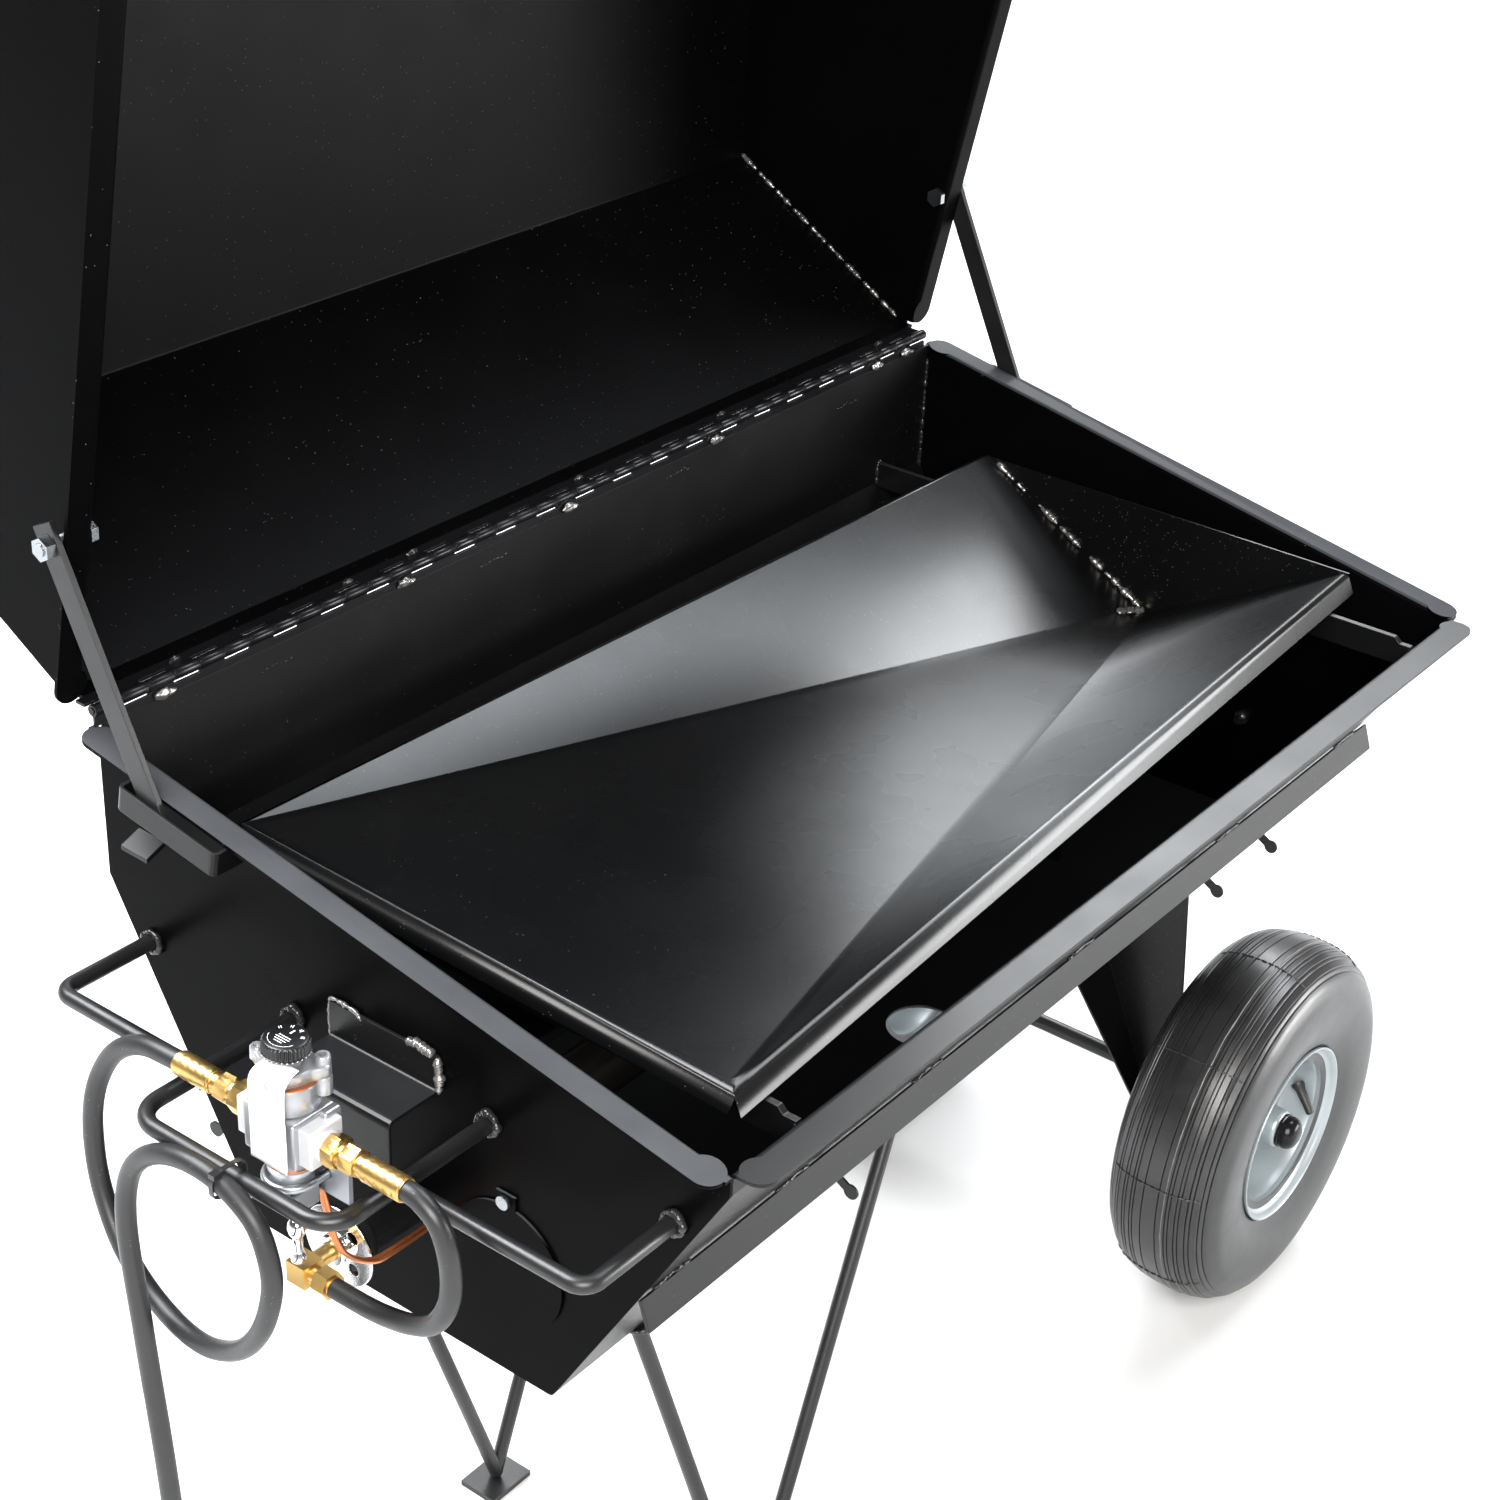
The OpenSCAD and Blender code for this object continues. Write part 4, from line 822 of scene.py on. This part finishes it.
def make_rim(name, node, body, y, face):
    """The pressed rim. face is -1 where the open side points to the front."""
    centre = at(AXLE_X, y, AXLE_Z)
    axis = Vector((0, face, 0))
    shape = Shape()
    outline = [(88, 46.5), (92.2, 50), (93, 52.4), (92.6, 53.8), (91.4, 54), (90.2, 53.2),
               (88.4, 49.5), (86, 46.4), (81, 44.6), (77.5, 42), (75, 37), (73.6, 30),
               (73, 12), (70.5, 6.2), (66, 4.2), (61, 4.4), (57, 2.6), (52, 1.2), (24, 1.2),
               (22.4, 2.5), (21.8, 4), (20, 5.6)]
    back = [(20, -5), (60, -5), (73, -3), (73, -37), (78, -43), (86, -46.4), (90, -53.4),
            (93, -52.6), (88, -46.5), (76.1, -44), (76.1, 44)]
    shape.lathe(outline + back, centre, axis, 96, caps=False)
    closing = [(76.1, 44), (88, 46.5)]
    shape.lathe(closing, centre, axis, 96, caps=False)
    hub = [(8.1, 41.6), (17.6, 41.8), (18.6, 41), (19.4, 39.6), (19.8, 37), (19.8, 8),
           (20, -41), (19, -42), (8.1, -42)]
    shape.lathe(hub, centre, axis, 64, caps=False)
    shape.lathe([(8.1, -42), (8.1, 41.6)], centre, axis, 64, caps=False)
    rim = shape.make(name, RIM_ZINC, body, smooth=42, replaces=[node], slot="rim_steel")
    stem = Shape()
    base = at(1049.5, 0, -541.8) - at(AXLE_X, 0, AXLE_Z)
    foot = centre + Vector((base.x, face * 0.0225, base.z)) * 1.0
    tip = foot + Vector((-0.0084, face * 0.0215, -0.0213))
    along = (tip - foot).normalized()
    stem.lathe([(7.2, -3), (7.4, 0), (6.2, 2), (5, 5), (4.6, 16), (4.2, 19), (4.3, 21),
                (4.3, 29), (3.6, 31), (0.4, 31.4)], foot, along, 32)
    stem.make(name + "_valve_stem", RUBBER, body, smooth=50)
    return rim


def make_wheels():
    for name, y, face in (("front", 80, -1), ("rear", BODY_W - 80, 1)):
        body = name + "_wheel"
        make_tyre(name + "_tyre_ribbed", name + "_tyre", body, y)
        make_rim(name + "_rim_pressed", name + "_rim", body, y, face)
    caps = Shape()
    for y, face in ((80, -1), (BODY_W - 80, 1)):
        centre = at(AXLE_X, y + face * 42.4, AXLE_Z)
        caps.lathe([(8, 0.2), (17.4, 0.2), (17.5, 2.2), (16.4, 3), (16.4, 5), (17, 6),
                    (16.6, 9), (15.2, 12.6), (12.6, 15.6), (9, 17.3), (4, 18), (0.4, 18)],
                   centre, (0, face, 0), 48)
    caps.make("axle_caps_domed", HINGE, "trough", smooth=40, replaces=["axle_caps"])


make_wheels()

# --- gas valve -------------------------------------------------------------------------

VX, VY, FLOW_Z = -115.4, 280, -32


def valve_at(x, y, z):
    return at(VX + x, VY + y, z)


def make_valve_body():
    low = Shape()
    low.block((VX - 20, VY - 24, -50), (VX + 20, VY + 24, -12))
    low.block((VX + 4, VY - 30, -30), (VX + 20, VY - 22, -12))
    low.make("valve_block", CASTING, "trough", smooth=30, replaces=["valve_body"],
             slot="valve_casting", edge=0.0028)
    side = Shape()
    side.block((VX - 15, VY - 35, -46), (VX + 15, VY - 20, -16))
    side.block((VX - 15, VY + 20, -46), (VX + 15, VY + 35, -16))
    side.make("valve_ports", PALE_CASTING, "trough", smooth=30, edge=0.0016)
    bosses = Shape()
    for way in (-1, 1):
        bosses.lathe([(11.4, 34), (11.4, 37.2), (10.6, 38), (7, 38)], valve_at(0, 0, FLOW_Z),
                     (0, way, 0), 48)
    bosses.make("valve_bosses", PALE_CASTING, "trough", smooth=40)
    turned = Shape()
    top = valve_at(0, 0, 0)
    turned.lathe([(19, -13), (21.5, -11.5), (22, -10), (22, 8.4), (21, 9.6), (8, 9.8)], top,
                 (0, 0, 1), 64)
    turned.lathe([(6, -50), (18.4, -50.2), (18.6, -52), (16.5, -55), (15, -58), (14.9, -61),
                  (16.6, -62), (16.6, -65), (14.9, -66), (14.9, -79), (12, -80)], top,
                 (0, 0, 1), 64)
    turned.lathe([(5, -3), (6.2, -3), (6.2, 9.5), (5.4, 10.6), (3.4, 10.8)],
                 valve_at(14, -19, 0), (0, 0, 1), 32)
    turned.make("valve_housing", CASTING, "trough", smooth=40)
    foot = Shape()
    foot.block((VX - 13, VY - 13, -98), (VX + 13, VY + 13, -80))
    foot.make("valve_foot", DULL_PLATE, "trough", smooth=30, edge=0.002)
    rings = Shape()
    rings.lathe([(21, 9.6), (22.6, 9.8), (22.6, 10.9), (21, 11)], top, (0, 0, 1), 64)
    rings.lathe([(14, -60.6), (15.8, -60.6), (15.8, -61.7), (14, -61.7)], top, (0, 0, 1), 64)
    rings.make("valve_gaskets", COPPER, "trough", smooth=30)


def make_valve_cover():
    """A round cover with three lobes for its screws, and a hollow corner post."""
    shape = Shape()
    steps = 96
    lobes = [math.radians(a) for a in (-58, 95, 200)]
    rings = []
    for z, grow in ((11, -0.4), (11.6, 0), (18.6, 0), (19.6, -0.9), (20, -2.2)):
        ring = []
        for k in range(steps):
            a = math.tau * k / steps
            r = 19.6
            for lobe in lobes:
                away = (a - lobe + math.pi) % math.tau - math.pi
                r += 9.5 * math.exp(-((away / 0.3) ** 2))
            ring.append(valve_at(math.cos(a) * (r + grow), math.sin(a) * (r + grow), z))
        rings.append(ring)
    shape.rings(rings)
    shape.lathe([(9.8, 19.5), (9.8, 24), (8.8, 25), (7.2, 25.2), (7.2, 28)],
                valve_at(0, 0, 0), (0, 0, 1), 48)
    for x, y, r, top in ((15, -18, 5.2, 25.5), (-2, 26, 4.6, 21.5), (-22, -8, 4.2, 20.8)):
        shape.lathe([(r + 0.6, 12), (r + 0.3, top - 1), (r - 0.4, top), (r * 0.55, top),
                     (r * 0.5, top - 4), (0.3, top - 4.4)], valve_at(x, y, 0), (0, 0, 1), 32)
    shape.make("valve_cover_cast", CASTING, "trough", smooth=35, replaces=["valve_cover"],
               slot="valve_casting")


def make_dial():
    """A fluted knob with a generic printed scale."""
    shape = Shape()
    steps = 180
    rings = []
    for z, r, flute in ((28.5, 14, 0), (28.6, 16.4, 0), (29.8, 16.8, 0), (30.2, 16.2, 0.1),
                        (30.8, 16.2, 0.7), (37.4, 15.9, 0.7), (38.4, 15.6, 0.2), (39.1, 15, 0),
                        (39.45, 14.2, 0)):
        rings.append([
            valve_at(math.cos(math.tau * k / steps) * (r + flute * math.cos(math.tau * k / 5)),
                     math.sin(math.tau * k / steps) * (r + flute * math.cos(math.tau * k / 5)), z)
            for k in range(steps)
        ])
    shape.rings(rings)
    shape.make("valve_dial_fluted", DIAL_BLACK, "valve_dial", smooth=25, replaces=["valve_dial"],
               slot="dial_plastic")
    ink = Shape()

    def mark(x, y, w, h, turn=0.0, z0=39.2, z1=39.6):
        c, s = math.cos(turn), math.sin(turn)
        flat = [(x + c * p - s * q, y + s * p + c * q)
                for p, q in ((-w, -h), (w, -h), (w, h), (-w, h))]
        ink.rings([[valve_at(p, q, z) for p, q in flat] for z in (z0, z1)])

    for k in range(9):
        a = math.radians(118 + k * 15.5)
        mark(math.cos(a) * 11.8, math.sin(a) * 11.8, 0.16, 1.4, a)
    for k in range(4):
        a = math.radians(-62 + k * 41)
        mark(math.cos(a) * 11.4, math.sin(a) * 11.4, 1.5, 0.22, a)
        mark(math.cos(a + 0.13) * 11.4, math.sin(a + 0.13) * 11.4, 1.1, 0.22, a)
    for row, wide in enumerate((5.4, 6.2, 5.0, 3.6)):
        mark(-0.6 - row * 2.2, 0, 0.3, wide)
    mark(6.2, 0, 2.2, 0.6)
    for k in range(30):
        a = math.tau * k / 30
        x, y = math.cos(a) * 16.55, math.sin(a) * 16.55
        mark(x, y, 0.22, 0.45, a, 28.9, 29.6)
    ink.make("dial_print", WHITE_INK, "valve_dial", smooth=20)


def make_tag():
    """A blank paper tag that hangs from under the dial down the front of the valve."""
    columns = 12
    outline = [(-9, 26.6), (-15, 26.4), (-20, 25), (-25, 21.5), (-27, 15), (-27.4, 4),
               (-27.2, -14), (-27, -30), (-27.3, -46)]
    line = smooth_line([Vector((x, 0, z)) * MM for x, z in outline], 0.003)
    verts, faces = [], []
    for i, p in enumerate(line):
        wide = 13 + 4 * min(1.0, i / 8)
        for k in range(columns + 1):
            y = -8 + wide * (2 * k / columns - 1)
            sag = 0.35 * math.sin(k * 0.55 + i * 0.1) * min(1.0, i / 6)
            verts.append(valve_at(p.x / MM + sag, y, p.z / MM))
    n = columns + 1
    for i in range(len(line) - 1):
        for k in range(columns):
            faces.append((i * n + k, i * n + k + 1, (i + 1) * n + k + 1, (i + 1) * n + k))
    tag = add_mesh("valve_tag_paper", verts, faces, PAPER, "trough", replaces=["valve_tag"],
                   slot="paper", smooth=60)
    thick = tag.modifiers.new("thickness", "SOLIDIFY")
    thick.thickness = 0.0003
    thick.offset = 0


def make_hose_ends():
    """Hexagons and crimped ferrules on both sides of the valve."""
    fittings, ferrules = Shape(), Shape()
    for side in (-1, 1):
        centre = valve_at(0, 0, FLOW_Z)
        axis = Vector((0, side, 0))
        fittings.hexagon(21.5, 38, 49.5, centre, axis, 0.3)
        fittings.lathe([(7, 49), (9.2, 49.5), (9.2, 53), (7, 53.4)], centre, axis, 40)
        fittings.hexagon(18.6, 53, 65.4, centre, axis, 0.1)
        fittings.lathe([(6.5, 65), (7.8, 65.6), (7.8, 71.4), (6.5, 71.6)], centre, axis, 40)
        steps = 48
        rings = []
        for i in range(73):
            h = 71 + 36 * i / 72
            ring = []
            for k in range(steps):
                a = math.tau * k / steps
                band = abs((h - 74) / 7.6 % 1 - 0.5) * 2
                pinch = 0.32 * max(0.0, 1 - band * 1.5) * (0.5 + 0.5 * math.cos(8 * a))
                lip = 0.7 if h < 72.6 or h > 105.8 else 0
                r = 9.2 - pinch - lip
                out = Vector((math.cos(a), 0, math.sin(a)))
                ring.append(centre + out * r * MM + axis * h * MM)
            rings.append(ring)
        ferrules.rings(rings)
    fittings.make("fitting_hexagons", BRASS, "trough", smooth=25, replaces=["hose_fittings"],
                  slot="brass")
    ferrules.make("crimped_ferrules", BRASS, "trough", smooth=35, replaces=["hose_ferrules"],
                  slot="brass")


def make_clamp():
    """The U-bolt with its nuts and threads, and the cable tie on the hose."""
    shape = Shape()
    arc = [math.radians(90 + 15 * k) for k in range(13)]
    bend = [valve_at(18.1 * math.cos(a), 18.1 * math.sin(a), -72.5) for a in arc]
    line = [valve_at(28, 18.1, -72.5), *bend, valve_at(28, -18.1, -72.5)]
    shape.tube(smooth_line(line, 0.0015), 3 * MM, 20)
    for side in (-1, 1):
        centre = valve_at(0, side * 18.1, -72.5)
        shape.hexagon(10, 19.2, 24, centre, (1, 0, 0), 0.2, 0.6)
        threads = []
        for k in range(10):
            threads += [(3.1, 24 + 0.5 * k), (2.7, 24.25 + 0.5 * k)]
        shape.lathe(threads, centre, (1, 0, 0), 24)
    shape.make("u_bolt_threaded", ZINC, "trough", smooth=40, replaces=["u_bolt"], slot="zinc")
    tie = Shape()
    outer = []
    low, high = (-176, -66.6), (-146, -45.9)
    for k in range(40):
        a = math.tau * k / 40
        c, s = math.cos(a), math.sin(a)
        x = (low[0] + high[0]) / 2 + 15.6 * abs(c) ** 0.6 * (1 if c > 0 else -1)
        z = (low[1] + high[1]) / 2 + 10.9 * abs(s) ** 0.6 * (1 if s > 0 else -1)
        outer.append((x, z))
    for k in range(40):
        (x0, z0), (x1, z1) = outer[k], outer[(k + 1) % 40]
        cx, cz = -161, -56.2
        quad = [(x0, z0), (x1, z1), (cx + (x1 - cx) * 0.94, cz + (z1 - cz) * 0.94),
                (cx + (x0 - cx) * 0.94, cz + (z0 - cz) * 0.94)]
        tie.rings([[at(x, y, z) for x, z in quad] for y in (290, 294)])
    tie.block((-175.5, 289, -49), (-169, 295, -44.9))
    tie.make("cable_tie_band", NYLON, "trough", smooth=40, replaces=["cable_tie"],
             slot="black_plastic")


def make_pilot():
    """Polished pilot fitting beside the copper tubes, under the valve."""
    shape = Shape()
    foot = at(-106, 288, -158)
    axis = (at(-106, 288.5, -118) - foot).normalized()
    shape.lathe([(5, 0), (5.6, 1), (5.6, 5), (4, 7), (3.6, 9), (3.6, 20), (4.4, 21.5), (6, 24),
                 (6.8, 28), (6.4, 32), (4.6, 35), (2, 36.4), (0.3, 36.6)], foot, axis, 40)
    shape.make("pilot_fitting", CHROME, "trough", smooth=50)
    lines = Shape()
    for k in (0, 1):
        route = [(-102, 276, -93.5), (-98, 276, -93.8), (-94, 275, -97), (-92, 274, -104),
                 (-90, 272, -120), (-89, 268, -139), (-84, 261, -154), (-70, 252, -163),
                 (-50, 250, -165), (0, 250, -165)]
        lines.tube(smooth_line([at(x, y + 4 * k, z) for x, y, z in route], 0.0025), 1.7 * MM, 14)
    lines.make("copper_lines", COPPER, "trough", smooth=60, replaces=["capillary_tubes"],
               slot="copper")


make_valve_body()
make_valve_cover()
make_dial()
make_tag()
make_hose_ends()
make_clamp()
make_pilot()

# --- stage --------------------------------------------------------------------------


FLOOR_SIZE = 30
NEAR_FLOOR, FAR_FLOOR, FAR_GLOW = 2.6, 6.5, 0.85
WORLD_LOW, WORLD_HIGH = 0.9, 0.17

# Name, place, target, width and height in metres, power in watts, colour.
LAMPS = (
    ("key", (2.5, -0.6, 4.4), (0, 0, 0.74), (2.4, 1.5), 150, (0.9, 0.95, 1.0)),
    ("rim", (3.4, 1.75, 3.25), (0, 0, 0.74), (2.4, 1.4), 145, (0.94, 0.97, 1.0)),
    ("fill", (-3.4, -2.8, 3.6), (0, 0, 0.6), (3.0, 3.0), 500, (1, 0.98, 0.95)),
    ("top", (-1.4, 2.2, 4.6), (0, 0, 0.6), (3.0, 2.6), 620, (0.94, 0.97, 1.0)),
    ("side", (3.6, -4.6, 1.1), (0.2, 0, 0.5), (3.2, 1.6), 300, (1, 1, 1)),
    ("back", (5.5, 5.0, 7.0), (5.0, 4.5, 0), (6.0, 6.0), 420, (1, 1, 1)),
)


def make_stage():
    """A pale floor that fades to white far away, in a pale room."""
    n = Nodes("floor")
    tone = n.mix(n.span(n.noise(0.8, 2), 0.3, 0.7), (0.64, 0.64, 0.64), (0.66, 0.66, 0.66))
    n.link(tone, n.shader.inputs["Base Color"])
    n.shader.inputs["Roughness"].default_value = 0.9
    away = n.add("ShaderNodeVectorMath", operation="LENGTH")
    n.link(n.place, away.inputs[0])
    n.shader.inputs["Emission Color"].default_value = (1, 1, 1, 1)
    glow = n.span(away.outputs["Value"], NEAR_FLOOR, FAR_FLOOR, 0, FAR_GLOW)
    n.link(glow, n.shader.inputs["Emission Strength"])
    size = FLOOR_SIZE
    data = bpy.data.meshes.new("floor")
    data.from_pydata([(-size, -size, 0), (size, -size, 0), (size, size, 0), (-size, size, 0)],
                     [], [(0, 1, 2, 3)])
    data.materials.append(n.material)
    floor = bpy.data.objects.new("floor", data)
    bpy.context.scene.collection.objects.link(floor)
    world = bpy.data.worlds.new("room")
    world.use_nodes = True
    tree = world.node_tree
    place = tree.nodes.new("ShaderNodeTexCoord").outputs["Generated"]
    split = tree.nodes.new("ShaderNodeSeparateXYZ")
    tree.links.new(place, split.inputs["Vector"])
    ramp = tree.nodes.new("ShaderNodeMapRange")
    ramp.interpolation_type = "SMOOTHSTEP"
    for key, value in (("From Min", 0.02), ("From Max", 0.24), ("To Min", WORLD_LOW),
                       ("To Max", WORLD_HIGH)):
        ramp.inputs[key].default_value = value
    tree.links.new(split.outputs["Z"], ramp.inputs["Value"])
    tree.links.new(ramp.outputs["Result"], tree.nodes["Background"].inputs["Strength"])
    tree.nodes["Background"].inputs["Color"].default_value = (1, 1, 1, 1)
    bpy.context.scene.world = world


def make_lamp(name, place, target, size, power, color):
    data = bpy.data.lights.new(name, "AREA")
    data.shape = "RECTANGLE"
    data.size, data.size_y = size
    data.energy = power
    data.color = color
    lamp = bpy.data.objects.new(name, data)
    lamp.location = place
    lamp.rotation_mode = "QUATERNION"
    lamp.rotation_quaternion = (Vector(place) - Vector(target)).to_track_quat("Z", "Y")
    bpy.context.scene.collection.objects.link(lamp)


make_stage()
for lamp in LAMPS:
    make_lamp(*lamp)
bpy.context.scene.view_settings.view_transform = "Standard"
